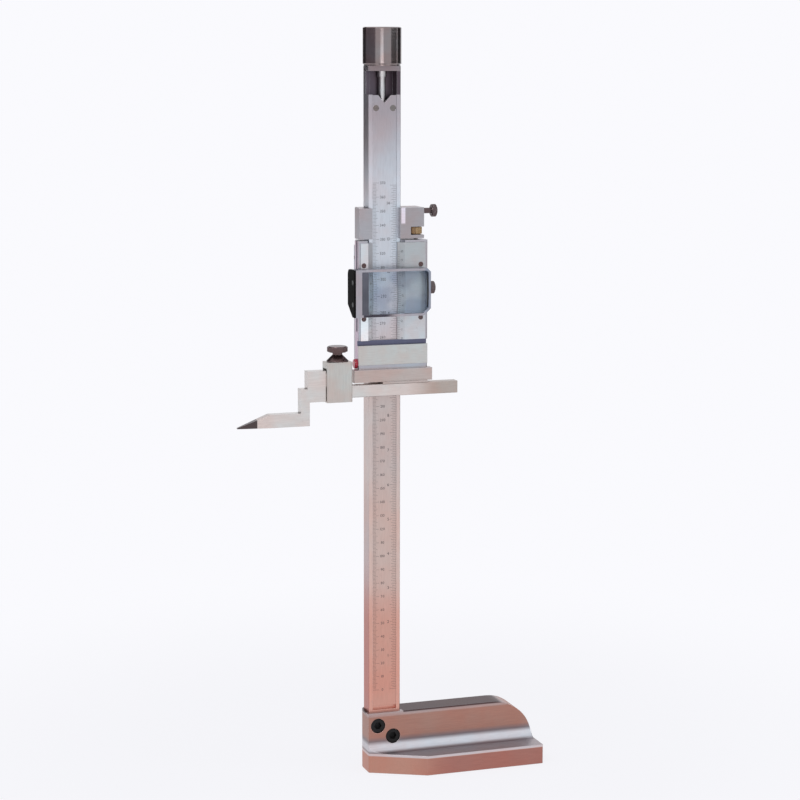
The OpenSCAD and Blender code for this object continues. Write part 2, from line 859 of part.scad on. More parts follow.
module cap_screws()
    color([0.5, 0.5, 0.52])
        for (side = [-1, 1])
            translate(cap_screw_at(side, cap_top - cap_screw_head_h))
                slot_screw(
                    cap_screw_d, cap_t - cap_screw_head_h + cap_screw_l - over, cap_screw_head_d,
                    cap_screw_head_h
                );

module main_scale()
    color([0.8, 0.8, 0.84])
        difference() {
            block([-scale_w / 2, -scale_face, scale_bottom], [scale_w / 2, -scale_back, scale_top]);
            along_y(-half_d, over - scale_back)
                polygon([[-notch_w / 2, scale_top + over], [0, scale_top - notch_d], [notch_w / 2, scale_top + over]]);
            bracket_screw_holes();
            for (z = [guide_low_z, guide_high_z])
                rod_y(
                    [0, -scale_back - guide_screw_grip, z], guide_screw_d + 2 * seat_fit,
                    guide_screw_grip + over
                );
        }

// Holes of the bracket screws, with room for their heads
module bracket_screw_holes()
    for (side = [-1, 1])
        translate([side * bracket_screw_x, -scale_face, scale_top - bracket_screw_drop]) {
            rod_y([0, -over, 0], bracket_screw_head_d + 2 * seat_fit, over + bracket_screw_head_h);
            rod_y(
                [0, 0, 0], bracket_screw_d + 2 * seat_fit,
                bracket_screw_head_h + bracket_screw_l + seat_fit
            );
        }

module scale_bracket()
    color([0.75, 0.76, 0.79])
        difference() {
            block(
                [-bracket_w / 2, -scale_back, bracket_bottom],
                [bracket_w / 2, recess_back - run_gap, bracket_top]
            );
            rod_z(
                [0, 0, bracket_bottom - over], spindle_d + 2 * turn_fit,
                bracket_drop - bracket_sink + 2 * over
            );
            bracket_screw_holes();
        }

module bracket_screws()
    color([0.42, 0.35, 0.3])
        for (side = [-1, 1])
            face_front([
                side * bracket_screw_x, bracket_screw_head_h - scale_face, scale_top - bracket_screw_drop
            ])
                slot_screw(bracket_screw_d, bracket_screw_l, bracket_screw_head_d, bracket_screw_head_h);

module scale_guide_screws()
    color([0.5, 0.5, 0.52])
        for (z = [guide_low_z, guide_high_z])
            face_back([0, half_d - guide_slot_d + slide_fit, z])
                slot_screw(
                    guide_screw_d, half_d - guide_slot_d + slide_fit + scale_back + guide_screw_grip - seat_fit,
                    guide_screw_head_d, guide_screw_head_h
                );

// The grub screw's hole points to the back
module adjust_knob()
    color([0.45, 0.4, 0.38])
        difference() {
            union() {
                rotate_extrude()
                    polygon([
                        [0, knob_bottom], [knob_d / 2 - knob_chamfer, knob_bottom],
                        [knob_d / 2, knob_bottom + knob_chamfer], [knob_d / 2, knob_top - knob_chamfer],
                        [knob_d / 2 - knob_chamfer, knob_top], [0, knob_top]
                    ]);
                rod_z([0, 0, cap_top + slide_fit], knob_boss_d, knob_lift);
            }
            rod_z([0, 0, cap_top - over], spindle_d + 2 * seat_fit, knob_lift + spindle_grip + over);
            rod_y([0, 0, knob_bottom + grub_rise], grub_d + 2 * seat_fit, knob_d);
        }

module adjust_spindle()
    color([0.75, 0.75, 0.77]) {
        rod_z(
            [0, 0, scale_top - spindle_through], spindle_d,
            knob_bottom + spindle_grip - scale_top + spindle_through - over
        );
        rod_z([0, 0, collar_top - collar_h], collar_d, collar_h);
    }

module knob_grub_screw()
    color([0.12, 0.12, 0.13])
        translate([0, spindle_d / 2, knob_bottom + grub_rise])
            rotate([-90, 0, 0])
                difference() {
                    cylinder(d = grub_d, h = grub_l);
                    translate([0, 0, grub_l - grub_d / 2])
                        cylinder(d = grub_d / 2, h = grub_d, $fn = 6);
                }

// Places of the vernier screws, as a sign for the side, a distance and a height
vernier_screw_places = [
    for (z = [vernier_screw_low_z, vernier_screw_high_z])
        each [[-metric_screw_x, z], [inch_screw_x, z]]
];
back_screw_xs = [-(gib_in + guide_wall / 2), guide_in + back_plate_right / 2];
back_plate_bottom = slider_bottom + back_plate_margin;
back_plate_top = slider_top - back_plate_margin;
back_screw_zs = [back_plate_bottom + back_screw_inset, back_plate_top - back_screw_inset];
gib_screw_zs = [slider_bottom + gib_screw_inset, slider_top - gib_screw_inset];
plug_z = flange_top + run_gap + plug_d / 2;
tongue_slot_bottom = lens_bottom - lens_down - run_gap;

// The cheeks and walls of the slider, before anything is cut
module slider_body() {
    along_z(slider_bottom, slider_top)
        polygon([
            [-slider_l + slider_chamfer, slider_face], [slider_r - slider_chamfer, slider_face],
            [slider_r, slider_face + slider_chamfer], [slider_r, guide_y], [guide_in, guide_y],
            [guide_in, -guide_y], [-gib_in, -guide_y], [-gib_in, guide_y], [-gib_in - guide_wall, guide_y],
            [-gib_in - guide_wall, -cheek_back], [-slider_l, -cheek_back],
            [-slider_l, slider_face + slider_chamfer]
        ]);
    block(
        [-slider_l - flange_left, slider_face - flange_front, slider_bottom],
        [slider_r + flange_right, -guide_y, flange_top]
    );
    block([-jaw_boss_l, jaw_middle - jaw_w / 2, jaw_top], [jaw_boss_r, -guide_y - over, slider_bottom]);
}

module slider_frame()
    color([0.74, 0.73, 0.74])
        difference() {
            slider_body();
            block(
                [-window_half, slider_face - over, window_bottom],
                [window_half, -half_d, slider_top + over]
            );
            block(
                [-slider_l - over, slider_face - over, blank_top],
                [slider_r + over, slider_face + groove_depth, window_bottom]
            );
            block(
                [-metric_reach - slide_fit, slider_face - over, vernier_bottom - slide_fit],
                [0, slider_face + vernier_pocket, vernier_top + slide_fit]
            );
            block(
                [0, slider_face - over, vernier_bottom - slide_fit],
                [inch_reach + slide_fit, slider_face + vernier_pocket, vernier_top + slide_fit]
            );
            block(
                [-slider_l - over, slider_face - over, blank_top - blank_h],
                [slider_r + over, slider_face + blank_pocket, blank_top + over]
            );
            for (p = vernier_screw_places)
                rod_y(
                    [p[0], slider_face - over, p[1]], vernier_screw_d + 2 * seat_fit,
                    over + vernier_screw_l + vernier_pocket
                );
            for (x = back_screw_xs, z = back_screw_zs)
                rod_y([x, guide_y - back_screw_l, z], back_screw_d + 2 * seat_fit, back_screw_l + over);
            for (z = gib_screw_zs)
                rod_x([-slider_l - over, gib_screw_y, z], gib_screw_d + 2 * seat_fit, slider_l);
            rod_x([guide_in - over, 0, slider_clamp_z], clamp_shank_d + 2 * turn_fit, slider_r);
            rod_z([feed_x, -feed_y, slider_top - feed_root], feed_d + 2 * seat_fit, feed_root + over);
            rod_x([-slider_l - over, -slider_front / 2, plug_z], plug_d + 2 * seat_fit, plug_hole + over);
            block(
                [-slider_l - over, -tongue_y - tongue_w / 2 - slide_fit, tongue_slot_bottom],
                [-slider_l + tongue_d, tongue_w / 2 + slide_fit - tongue_y, slider_top + over]
            );
            for (x = jaw_screw_xs)
                rod_z(
                    [x, jaw_middle, jaw_top - over], jaw_screw_d + 2 * seat_fit,
                    slider_bottom - jaw_top + jaw_screw_grip + over
                );
        }

jaw_screw_xs = [jaw_screw_first, jaw_screw_first + jaw_screw_pitch];

module slider_back_plate()
    color([0.7, 0.69, 0.7])
        difference() {
            block(
                [-gib_in - guide_wall, guide_y, back_plate_bottom],
                [guide_in + back_plate_right, guide_y + back_plate_t, back_plate_top]
            );
            for (x = back_screw_xs, z = back_screw_zs) {
                rod_y([x, guide_y - over, z], back_screw_d + 2 * seat_fit, back_plate_t + 2 * over);
                rod_y(
                    [x, guide_y + back_plate_t - back_screw_head_h, z],
                    back_screw_head_d + 2 * seat_fit, back_plate_t
                );
            }
        }

module slider_back_screws()
    color([0.45, 0.44, 0.45])
        for (x = back_screw_xs, z = back_screw_zs)
            face_back([x, guide_y + back_plate_t - back_screw_head_h, z])
                slot_screw(
                    back_screw_d, back_plate_t - back_screw_head_h + back_screw_l - over,
                    back_screw_head_d, back_screw_head_h
                );

module gib_strip()
    color([0.72, 0.58, 0.32])
        block(
            [-gib_in, -gib_w / 2, slider_bottom + gib_margin],
            [-guide_in, gib_w / 2, slider_top - gib_margin]
        );

module gib_screws()
    color([0.3, 0.28, 0.28])
        for (z = gib_screw_zs)
            difference() {
                rod_x(
                    [-gib_in - guide_wall - gib_screw_out, gib_screw_y, z], gib_screw_d,
                    guide_wall + gib_screw_out
                );
                block(
                    [-gib_in - guide_wall - gib_screw_out - over, gib_screw_y - gib_screw_d, z - gib_screw_out / 2],
                    [-gib_in - guide_wall, gib_screw_y + gib_screw_d, z + gib_screw_out / 2]
                );
            }

// A vernier plate for the right side: a flange in the slider's face and a bevelled reading edge
module vernier_plate(reach, screw_x)
    difference() {
        along_z(vernier_bottom, vernier_top)
            polygon([
                [reach, slider_face - vernier_proud], [vernier_bevel, slider_face - vernier_proud],
                [vernier_edge, -half_d - vernier_clear - vernier_lip], [vernier_edge, -half_d - vernier_clear],
                [window_half - slide_fit, -half_d - vernier_clear],
                [window_half - slide_fit, slider_face + vernier_pocket], [reach, slider_face + vernier_pocket]
            ]);
        for (z = [vernier_screw_low_z, vernier_screw_high_z]) {
            rod_y(
                [screw_x, slider_face - over, z], vernier_screw_d + 2 * seat_fit,
                vernier_pocket + 2 * over
            );
            rod_y(
                [screw_x, slider_face - vernier_proud - over, z], vernier_screw_head_d + 2 * seat_fit,
                vernier_screw_head_h + over
            );
        }
    }

module metric_vernier()
    color([0.85, 0.86, 0.9])
        mirror([1, 0, 0])
            vernier_plate(metric_reach, metric_screw_x);

module inch_vernier()
    color([0.8, 0.82, 0.86])
        vernier_plate(inch_reach, inch_screw_x);

module vernier_screws()
    color([0.2, 0.18, 0.2])
        for (p = vernier_screw_places)
            face_front([p[0], slider_face - vernier_proud + vernier_screw_head_h, p[1]])
                slot_screw(
                    vernier_screw_d, vernier_pocket + vernier_proud - vernier_screw_head_h + vernier_screw_l - seat_fit,
                    vernier_screw_head_d, vernier_screw_head_h
                );

module blank_plate()
    color([0.82, 0.84, 0.84])
        block(
            [-slider_l, slider_face - blank_proud, blank_top - blank_h],
            [slider_r - slide_fit, slider_face + blank_pocket, blank_top]
        );

module jaw_bar()
    color([0.75, 0.7, 0.67])
        difference() {
            along_x(jaw_inset - box_l, jaw_r)
                cut_rect([jaw_front, jaw_bottom], [jaw_back, jaw_top], jaw_chamfer);
            for (x = jaw_screw_xs) {
                rod_z([x, jaw_middle, jaw_bottom - over], jaw_screw_d + 2 * seat_fit, jaw_h + 2 * over);
                rod_z(
                    [x, jaw_middle, jaw_bottom - over], jaw_screw_head_d + 2 * seat_fit,
                    jaw_screw_head_h + over
                );
            }
        }

module jaw_screws()
    color([0.1, 0.1, 0.11])
        for (x = jaw_screw_xs)
            translate([x, jaw_middle, jaw_bottom + jaw_screw_head_h])
                rotate([180, 0, 0])
                    socket_screw(
                        jaw_screw_d, jaw_h - jaw_screw_head_h + slider_bottom - jaw_top + jaw_screw_grip - seat_fit,
                        jaw_screw_head_d, jaw_screw_head_h - seat_fit, jaw_screw_key, jaw_screw_head_h / 2
                    );

module seal_plug()
    color([0.72, 0.08, 0.2])
        translate([-slider_l - plug_out, -slider_front / 2, plug_z])
            rotate([0, 90, 0])
                rotate_extrude()
                    polygon(concat(
                        [[0, 0]],
                        arc([plug_d / 2 - plug_out / 2, plug_out / 2], plug_out / 2, -90, 0),
                        [[plug_d / 2, plug_out + plug_hole], [0, plug_out + plug_hole]]
                    ));

module feed_spindle()
    color([0.62, 0.6, 0.6])
        rod_z([feed_x, -feed_y, slider_top - feed_root], feed_d, feed_root + feed_stand);

// A clamp screw along X: a knurled head at the right end, a shank that reaches in to its tip
module side_clamp_screw(y, z, head_x)
    translate([0, y, z])
        rotate([0, 90, 0]) {
            translate([0, 0, clamp_tip])
                cylinder(d = clamp_shank_d, h = head_x - clamp_tip + clamp_head_l / 2);
            translate([0, 0, head_x])
                knurled_head(clamp_head_d, clamp_head_l);
        }

module side_clamp_shoe(y, z)
    rod_x([shoe_face, y, z], shoe_d, shoe_l);

module slider_clamp_screw()
    color([0.4, 0.36, 0.36])
        side_clamp_screw(0, slider_clamp_z, slider_head_x);

module slider_clamp_shoe()
    color([0.75, 0.6, 0.35])
        side_clamp_shoe(0, slider_clamp_z);

// Distance of the carriage's clamp screw in front of the column's middle plane
carriage_clamp_y = feed_y - feed_d / 3;

module carriage_frame()
    color([0.66, 0.64, 0.66])
        difference() {
            along_z(carriage_bottom, carriage_top)
                polygon([
                    [-carriage_l, slider_face], [-carriage_window_half, slider_face],
                    [-carriage_window_half, -guide_y], [-guide_in, -guide_y], [-guide_in, guide_y],
                    [guide_in, guide_y], [guide_in, -guide_y], [carriage_window_half, -guide_y],
                    [carriage_window_half, slider_face], [carriage_r, slider_face],
                    [carriage_r, guide_y + carriage_back_t], [-guide_in - guide_wall, guide_y + carriage_back_t],
                    [-guide_in - guide_wall, carriage_cheek_back], [-carriage_l, carriage_cheek_back]
                ]);
            rod_x(
                [guide_in - over, -carriage_clamp_y, carriage_clamp_z], clamp_shank_d + 2 * turn_fit, carriage_r
            );
            rod_z(
                [feed_x, -feed_y, carriage_bottom - over], feed_d + 2 * run_gap,
                over + slider_top + feed_stand - carriage_bottom + carriage_gap
            );
            block(
                [feed_x - nut_slot_l, slider_face - over, nut_bottom - nut_play],
                [carriage_r + over, nut_slot_l - feed_y, nut_top + nut_play]
            );
        }

module carriage_clamp_screw()
    color([0.42, 0.38, 0.38])
        side_clamp_screw(-carriage_clamp_y, carriage_clamp_z, carriage_head_x);

module carriage_clamp_shoe()
    color([0.75, 0.6, 0.35])
        side_clamp_shoe(-carriage_clamp_y, carriage_clamp_z);

module feed_nut()
    color([0.68, 0.52, 0.3])
        difference() {
            translate([feed_x, -feed_y, nut_bottom])
                knurled_head(nut_d, nut_h);
            rod_z([feed_x, -feed_y, nut_bottom - over], feed_d + 2 * turn_fit, nut_h + 2 * over);
        }

// Side view of the magnifier's arm: its lower back corner is cut, its upper one round
module arm_side() {
    low = lens_bottom;
    high = lens_top;
    polygon(concat(
        [[-arm_front, low], [-arm_back - arm_cut_l, low], [-arm_back, low + arm_cut_h]],
        arc([-arm_back - arm_r, high - arm_r], arm_r, 0, 90),
        [[-arm_front, high]]
    ));
}

lens_screw_zs = [lens_bottom + lens_screw_inset, lens_top - lens_screw_inset];
lens_screw_l = arm_outer - glass_left - holder_w / 4;

// Holes of the magnifier's screws, from the cover to the holder
module lens_screw_holes()
    for (z = lens_screw_zs) {
        rod_x(
            [-cover_outer - over, lens_screw_y - arm_front, z], lens_screw_head_d + 2 * seat_fit,
            over + lens_screw_head_h
        );
        rod_x(
            [-cover_outer, lens_screw_y - arm_front, z], lens_screw_d + 2 * seat_fit,
            lens_screw_l + cover_t
        );
    }

// Front view of the rails and the glass from their left end, smaller all round by an inset
module lens_outline(left, inset) {
    low = lens_bottom + inset;
    high = lens_top - inset;
    right = lens_r - inset;
    low_cut = lens_low_cut - inset * (2 - sqrt(2));
    high_cut = lens_high_cut - inset * (2 - sqrt(2));
    polygon([
        [left, low], [right - low_cut, low], [right, low + low_cut],
        [right, high - high_cut], [right - high_cut, high], [left, high]
    ]);
}

module lens_frame()
    color([0.8, 0.77, 0.78])
        difference() {
            union() {
                along_x(-arm_outer, -arm_inner)
                    arm_side();
                block(
                    [-arm_inner - over, -tongue_y - tongue_w / 2, lens_bottom + arm_cut_h],
                    [tongue_d - slider_l - slide_fit, tongue_w / 2 - tongue_y, lens_top - arm_r]
                );
                along_y(-rail_front, -rail_back)
                    difference() {
                        lens_outline(-arm_inner, 0);
                        lens_outline(-arm_inner - over, rail_t);
                    }
                block(
                    [lens_r - rail_t, -rail_front, lens_bottom + lens_low_cut],
                    [lens_r, -post_back, lens_top - lens_high_cut]
                );
            }
            lens_screw_holes();
        }

module lens_holder()
    color([0.12, 0.12, 0.16])
        difference() {
            block(
                [-arm_inner, -rail_front, lens_bottom + rail_t],
                [-glass_left, -rail_back, lens_top - rail_t]
            );
            lens_screw_holes();
        }

// The glass is flat behind and bulges to the front as part of a cylinder
module lens_glass()
    color([0.6, 0.68, 0.76, 0.5]) {
        half = lens_h / 2 - rail_t;
        bulge_r = (half * half + glass_bulge * glass_bulge) / (2 * glass_bulge);
        intersection() {
            along_y(-arm_front - over, -rail_back - seat_fit)
                lens_outline(-glass_left, rail_t);
            rod_x(
                [-arm_front, bulge_r - rail_back - glass_t - glass_bulge, (lens_bottom + lens_top) / 2],
                2 * bulge_r, 3 * arm_front
            );
        }
    }

module lens_side_cover()
    color([0.06, 0.06, 0.08])
        difference() {
            along_x(-cover_outer, -arm_outer)
                arm_side();
            lens_screw_holes();
        }

module lens_screws()
    color([0.3, 0.3, 0.32])
        for (z = lens_screw_zs)
            translate([lens_screw_head_h - cover_outer, lens_screw_y - arm_front, z])
                rotate([0, -90, 0])
                    slot_screw(
                        lens_screw_d, lens_screw_l + cover_t - lens_screw_head_h - seat_fit, lens_screw_head_d,
                        lens_screw_head_h
                    );

module clamp_box()
    color([0.78, 0.77, 0.75])
        difference() {
            along_z(box_bottom, box_top)
                cut_rect([-box_l, box_front], [-box_r, box_back], box_chamfer);
            block(
                [-box_l - over, jaw_front - slide_fit, jaw_bottom - slide_fit],
                [over - box_r, jaw_back + slide_fit, box_cavity_top]
            );
            rod_z(
                [clamp_x, jaw_middle, box_cavity_top - over], clamp_screw_d + 2 * turn_fit,
                box_roof + 2 * over
            );
        }

module clamp_screw() {
    skirt = box_top + run_gap;
    cone = skirt + clamp_rim_h;
    neck = cone + clamp_cone_h;
    head = neck + clamp_neck_h;
    color([0.42, 0.34, 0.33])
        translate([clamp_x, jaw_middle, 0]) {
            translate([0, 0, box_cavity_top])
                cylinder(d = clamp_screw_d, h = neck - box_cavity_top);
            translate([0, 0, skirt])
                cylinder(d = clamp_skirt_d, h = clamp_rim_h);
            translate([0, 0, cone])
                cylinder(d1 = clamp_skirt_d, d2 = clamp_neck_d, h = clamp_cone_h);
            translate([0, 0, neck])
                cylinder(d = clamp_neck_d, h = clamp_neck_h);
            translate([0, 0, head])
                knurled_head(clamp_knob_d, clamp_knob_h);
        }
}

module clamp_pad()
    color([0.75, 0.6, 0.35])
        block(
            [clamp_x - pad_l / 2, jaw_front + slide_fit, pad_bottom],
            [clamp_x + pad_l / 2, jaw_back - slide_fit, pad_top]
        );

// Side view of the scriber: shank, block, leg and blade with its bevel
module scriber_side()
    polygon([
        [-box_r - shank_inset, shank_bottom], [-box_r - shank_inset, shank_top],
        [-box_l - run_gap, shank_top], [-box_l - run_gap, block_top], [-block_l, block_top],
        [-block_l, leg_top], [-leg_l, leg_top], [-leg_l, blade_top],
        [bevel_l - tip_x, blade_top], [-tip_x, blade_bottom + tip_t], [-tip_x, blade_bottom],
        [leg_w - leg_l, blade_bottom], [leg_w - leg_l, block_top - block_h],
        [-box_l - run_gap, block_top - block_h], [-box_l - run_gap, shank_bottom]
    ]);

// Plan of the scriber: full width, and narrower towards the tip
module scriber_plan()
    polygon([
        [0, jaw_front + slide_fit], [bevel_l - tip_x, jaw_front + slide_fit], [-tip_x, jaw_middle - tip_w / 2],
        [-tip_x, jaw_middle + tip_w / 2], [bevel_l - tip_x, jaw_back - slide_fit], [0, jaw_back - slide_fit]
    ]);

module scriber_whole()
    intersection() {
        along_y(jaw_front, jaw_back)
            scriber_side();
        along_z(blade_bottom, block_top)
            scriber_plan();
    }

module scriber_shank()
    color([0.72, 0.67, 0.65])
        intersection() {
            scriber_whole();
            block([tip_l - tip_x, jaw_front, blade_bottom], [0, jaw_back, block_top]);
        }

module scriber_tip()
    color([0.25, 0.22, 0.22])
        intersection() {
            scriber_whole();
            block([-tip_x, jaw_front, blade_bottom], [tip_l - tip_x, jaw_back, block_top]);
        }

base();
column();
column_screws();
bearing_cap();
cap_screws();
main_scale();
scale_bracket();
bracket_screws();
scale_guide_screws();
adjust_knob();
adjust_spindle();
knob_grub_screw();
slider_frame();
slider_back_plate();
slider_back_screws();
gib_strip();
gib_screws();
metric_vernier();
inch_vernier();
vernier_screws();
blank_plate();
jaw_bar();
jaw_screws();
seal_plug();
feed_spindle();
slider_clamp_screw();
slider_clamp_shoe();
carriage_frame();
carriage_clamp_screw();
carriage_clamp_shoe();
feed_nut();
lens_frame();
lens_holder();
lens_glass();
lens_side_cover();
lens_screws();
clamp_box();
clamp_screw();
clamp_pad();
scriber_shank();
scriber_tip();
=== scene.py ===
"""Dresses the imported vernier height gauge: ground and chromed finishes, engraved scales, cut threads and a studio."""

import math

import bpy
import numpy as np
from bpy.props import FloatProperty, FloatVectorProperty, IntProperty, PointerProperty
from bpy.types import Operator, Panel, PropertyGroup
from mathutils import Euler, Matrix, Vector


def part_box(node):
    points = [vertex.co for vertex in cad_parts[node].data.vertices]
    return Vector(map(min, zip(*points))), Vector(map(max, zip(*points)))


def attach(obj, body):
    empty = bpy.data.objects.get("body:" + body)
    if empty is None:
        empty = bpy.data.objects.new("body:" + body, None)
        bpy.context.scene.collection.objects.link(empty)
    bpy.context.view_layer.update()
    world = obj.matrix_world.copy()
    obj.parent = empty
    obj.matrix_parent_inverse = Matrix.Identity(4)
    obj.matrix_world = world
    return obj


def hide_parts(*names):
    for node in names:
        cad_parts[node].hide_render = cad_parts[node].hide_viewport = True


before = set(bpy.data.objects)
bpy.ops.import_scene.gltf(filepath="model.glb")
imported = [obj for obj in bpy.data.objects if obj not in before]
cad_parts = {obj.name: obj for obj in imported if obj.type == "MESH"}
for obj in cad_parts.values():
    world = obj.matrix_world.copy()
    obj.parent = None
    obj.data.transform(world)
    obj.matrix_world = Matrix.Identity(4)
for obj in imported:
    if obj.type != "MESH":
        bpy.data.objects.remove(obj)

bl_info = {
    "name": "Vernier height gauge",
    "version": (1, 0, 0),
    "blender": (4, 5, 0),
    "location": "View3D > Sidebar > Height gauge",
    "description": "Finishes, engraved scales, threads and studio for a vernier height gauge",
    "category": "Object",
}

MM = 0.001
INCH = 0.0254

# Noise cells per metre along X, Y and Z: the few long cells lie along the scratches.
ALONG_X = (120, 2600, 2600)
ALONG_Z = (2600, 2600, 120)

# Marks of the main scale: the lines' distance from its edges and the centres of the numbers.
LINE_INSET = 0.15 * MM
METRIC_NUMERAL_X = -1.4 * MM
INCH_NUMERAL_X = 2.9 * MM

# The bevel of the right vernier in section: its thin edge beside the scale, and its crest.
BEVEL_EDGE_X = 9.3 * MM
BEVEL_EDGE_Y = -6.9 * MM
BEVEL_CREST_X = 13.7 * MM

# Marks of the verniers. 50 parts cover 49 mm, or 49 twentieths of an inch. Lengths go up the bevel from its edge.
VERNIER_PARTS = 50
METRIC_PART = 0.98 * MM
INCH_PART = 1.2446 * MM
VERNIER_START = 0.1 * MM
VERNIER_LONG = 2.4 * MM
VERNIER_SHORT = 1.7 * MM
VERNIER_NUMERAL_AT = 3.4 * MM

# The space between two digits, as a share of their height.
DIGIT_GAP = 0.16


# Properties

def seen_colour(label, text, rgb):
    """A colour property, given as the eye sees it."""
    return FloatVectorProperty(
        name=label, description=text, subtype="COLOR_GAMMA", size=3, min=0, max=1, default=rgb
    )


def length(label, text, value, low=0.0, high=1.0):
    """A length property in metres."""
    return FloatProperty(
        name=label, description=text, default=value, min=low, max=high, precision=5, unit="LENGTH",
        subtype="DISTANCE",
    )


def angle(label, text, degrees):
    """An angle property, given in degrees."""
    return FloatProperty(name=label, description=text, subtype="ANGLE", default=math.radians(degrees))


class GaugeColours(PropertyGroup):
    """Colours of the finishes."""

    # Foot colours hold painted light: the warm sides, redder towards the tail, are a painted warm reflection, the top
    # is painted shade and the cove is a painted highlight.
    foot_side: seen_colour("Foot side", "Ground sides of the foot", (0.79, 0.575, 0.505))
    foot_tail: seen_colour("Foot side, tail", "Ground sides of the foot towards its tail", (0.70, 0.475, 0.43))
    foot_spine: seen_colour("Foot spine", "Sides of the foot's raised spine", (0.705, 0.535, 0.48))
    foot_top: seen_colour("Foot top", "Top of the foot's spine", (0.31, 0.225, 0.225))
    foot_cove: seen_colour("Foot cove", "Polished cove along the foot", (0.84, 0.84, 0.86))
    # Column colours are a painted reflection: warm near the foot, cool above the slider and darker near the top.
    column_foot: seen_colour("Column foot", "Column and scale near the foot", (0.895, 0.68, 0.615))
    column_low: seen_colour("Column low", "Column and scale over the foot", (0.88, 0.77, 0.73))
    column_mid: seen_colour("Column middle", "Column and scale under the jaw", (0.845, 0.785, 0.765))
    column_high: seen_colour("Column high", "Column and scale above the slider", (0.865, 0.882, 0.912))
    column_end: seen_colour("Column end", "Column and scale near the top", (0.72, 0.70, 0.725))
    # The recess colour is painted shade.
    recess: seen_colour("Recess", "Shaded recess under the cap", (0.37, 0.335, 0.37))
    slider: seen_colour("Slider", "Satin slider body", (0.73, 0.74, 0.77))
    # Painted light on the slider: the flange's warm colour is a painted warm reflection, the mauve cheek a painted
    # reflection and the dark groove painted shade.
    flange: seen_colour("Slider foot", "Lower flange of the slider", (0.78, 0.72, 0.695))
    cheek: seen_colour("Slider cheek", "Left side of the slider", (0.80, 0.725, 0.78))
    groove: seen_colour("Slider groove", "Dark groove under the verniers", (0.40, 0.415, 0.505))
    # The carriage's two colours are a painted reflection, one left and one right of the column.
    carriage: seen_colour("Carriage", "Fine feed carriage, right of the column", (0.68, 0.655, 0.665))
    carriage_dark: seen_colour("Carriage left", "Fine feed carriage, left of the column", (0.705, 0.685, 0.70))
    # The plates' colours are a painted reflection: brighter at the lower end, duller above and on the inch plate.
    plates: seen_colour("Vernier plates", "Satin chromed metric plate, lower end", (0.99, 0.995, 1.0))
    plates_high: seen_colour("Vernier plates, upper end", "Satin chromed metric plate", (0.86, 0.885, 0.90))
    plates_right: seen_colour("Inch plate", "Satin chromed inch plate, lower end", (0.82, 0.85, 0.87))
    plates_dim: seen_colour("Inch plate, upper end", "Satin chromed inch plate", (0.735, 0.74, 0.745))
    blank: seen_colour("Blank plate", "Satin chromed plate under the verniers", (0.80, 0.815, 0.805))
    jaw: seen_colour("Jaw and scriber", "Ground jaw bar and scriber", (0.87, 0.855, 0.84))
    jaw_end: seen_colour("Jaw end", "Free end of the jaw bar", (0.74, 0.685, 0.65))
    box: seen_colour("Clamp box", "Scriber clamp box", (0.80, 0.79, 0.77))
    bright: seen_colour("Turned parts", "Bright turned bracket", (0.72, 0.71, 0.715))
    spindle: seen_colour("Spindles", "Bright turned spindles", (0.80, 0.79, 0.79))
    cap: seen_colour("Bearing cap", "Turned cap on the column", (0.58, 0.55, 0.565))
    knob: seen_colour("Top knob", "Polished adjusting knob", (0.57, 0.535, 0.535))
    screws: seen_colour("Screws", "Small steel screws", (0.52, 0.49, 0.48))
    dark_screws: seen_colour("Dark screws", "Knurled clamp screws", (0.40, 0.34, 0.34))
    brass: seen_colour("Brass", "Feed nut, gib and clamp shoes", (0.66, 0.545, 0.40))
    tip: seen_colour("Hard tip", "Ground hard metal tip", (0.34, 0.30, 0.30))
    glass: seen_colour("Lens glass", "Coat of the magnifier's glass", (0.86, 0.89, 0.93))
    glass_pale: seen_colour("Lens glass, pale", "Paler patches of the glass's coat", (0.95, 0.97, 0.98))
    lens_frame: seen_colour("Lens frame", "Satin arm of the magnifier", (0.70, 0.69, 0.72))
    # The dark left part of the lower rail is a painted shadow of the glass.
    lens_rail: seen_colour("Lens rail", "Dark left part of the magnifier's lower rail", (0.28, 0.27, 0.31))
    lens_post: seen_colour("Lens post", "Pale right post of the magnifier", (0.60, 0.64, 0.70))
    seal: seen_colour("Seal", "Plug over the setting screw", (0.74, 0.10, 0.22))
    ink: seen_colour("Ink", "Filling of the engraved marks", (0.16, 0.15, 0.17))


class GaugeMarks(PropertyGroup):
    """Sizes of the engraved scales."""

    zero_z: length("Scale zero", "Height of the main scale's zero", 60 * MM)
    vernier_z: length("Vernier zero", "Height of the verniers' zero at rest", 319.2 * MM)
    metric_span: length("Metric span", "Length of the metric scale", 370 * MM)
    inch_steps: IntProperty(name="Inch steps", description="Twentieths of an inch", default=290, min=20, max=330)
    line_w: length("Line width", "Width of an engraved line", 0.16 * MM)
    lift: length("Ink height", "Height of the ink over the steel", 0.02 * MM)
    short: length("Short line", "Length of the shortest lines", 2.6 * MM)
    middle: length("Middle line", "Length of the middle lines", 3.6 * MM)
    long: length("Long line", "Length of the numbered lines", 4.8 * MM)
    numeral: length("Numerals", "Height of the metric numerals", 1.9 * MM)
    inch_numeral: length("Inch numerals", "Height of the inch numerals", 2.1 * MM)
    vernier_numeral: length("Vernier numerals", "Height of the vernier numerals", 1.6 * MM)


class GaugeThreads(PropertyGroup):
    """Sizes of the cut thread."""

    pitch: length("Pitch", "Pitch of the fine feed spindle", 0.5 * MM)
    depth: length("Depth", "Depth of the thread", 0.2 * MM)


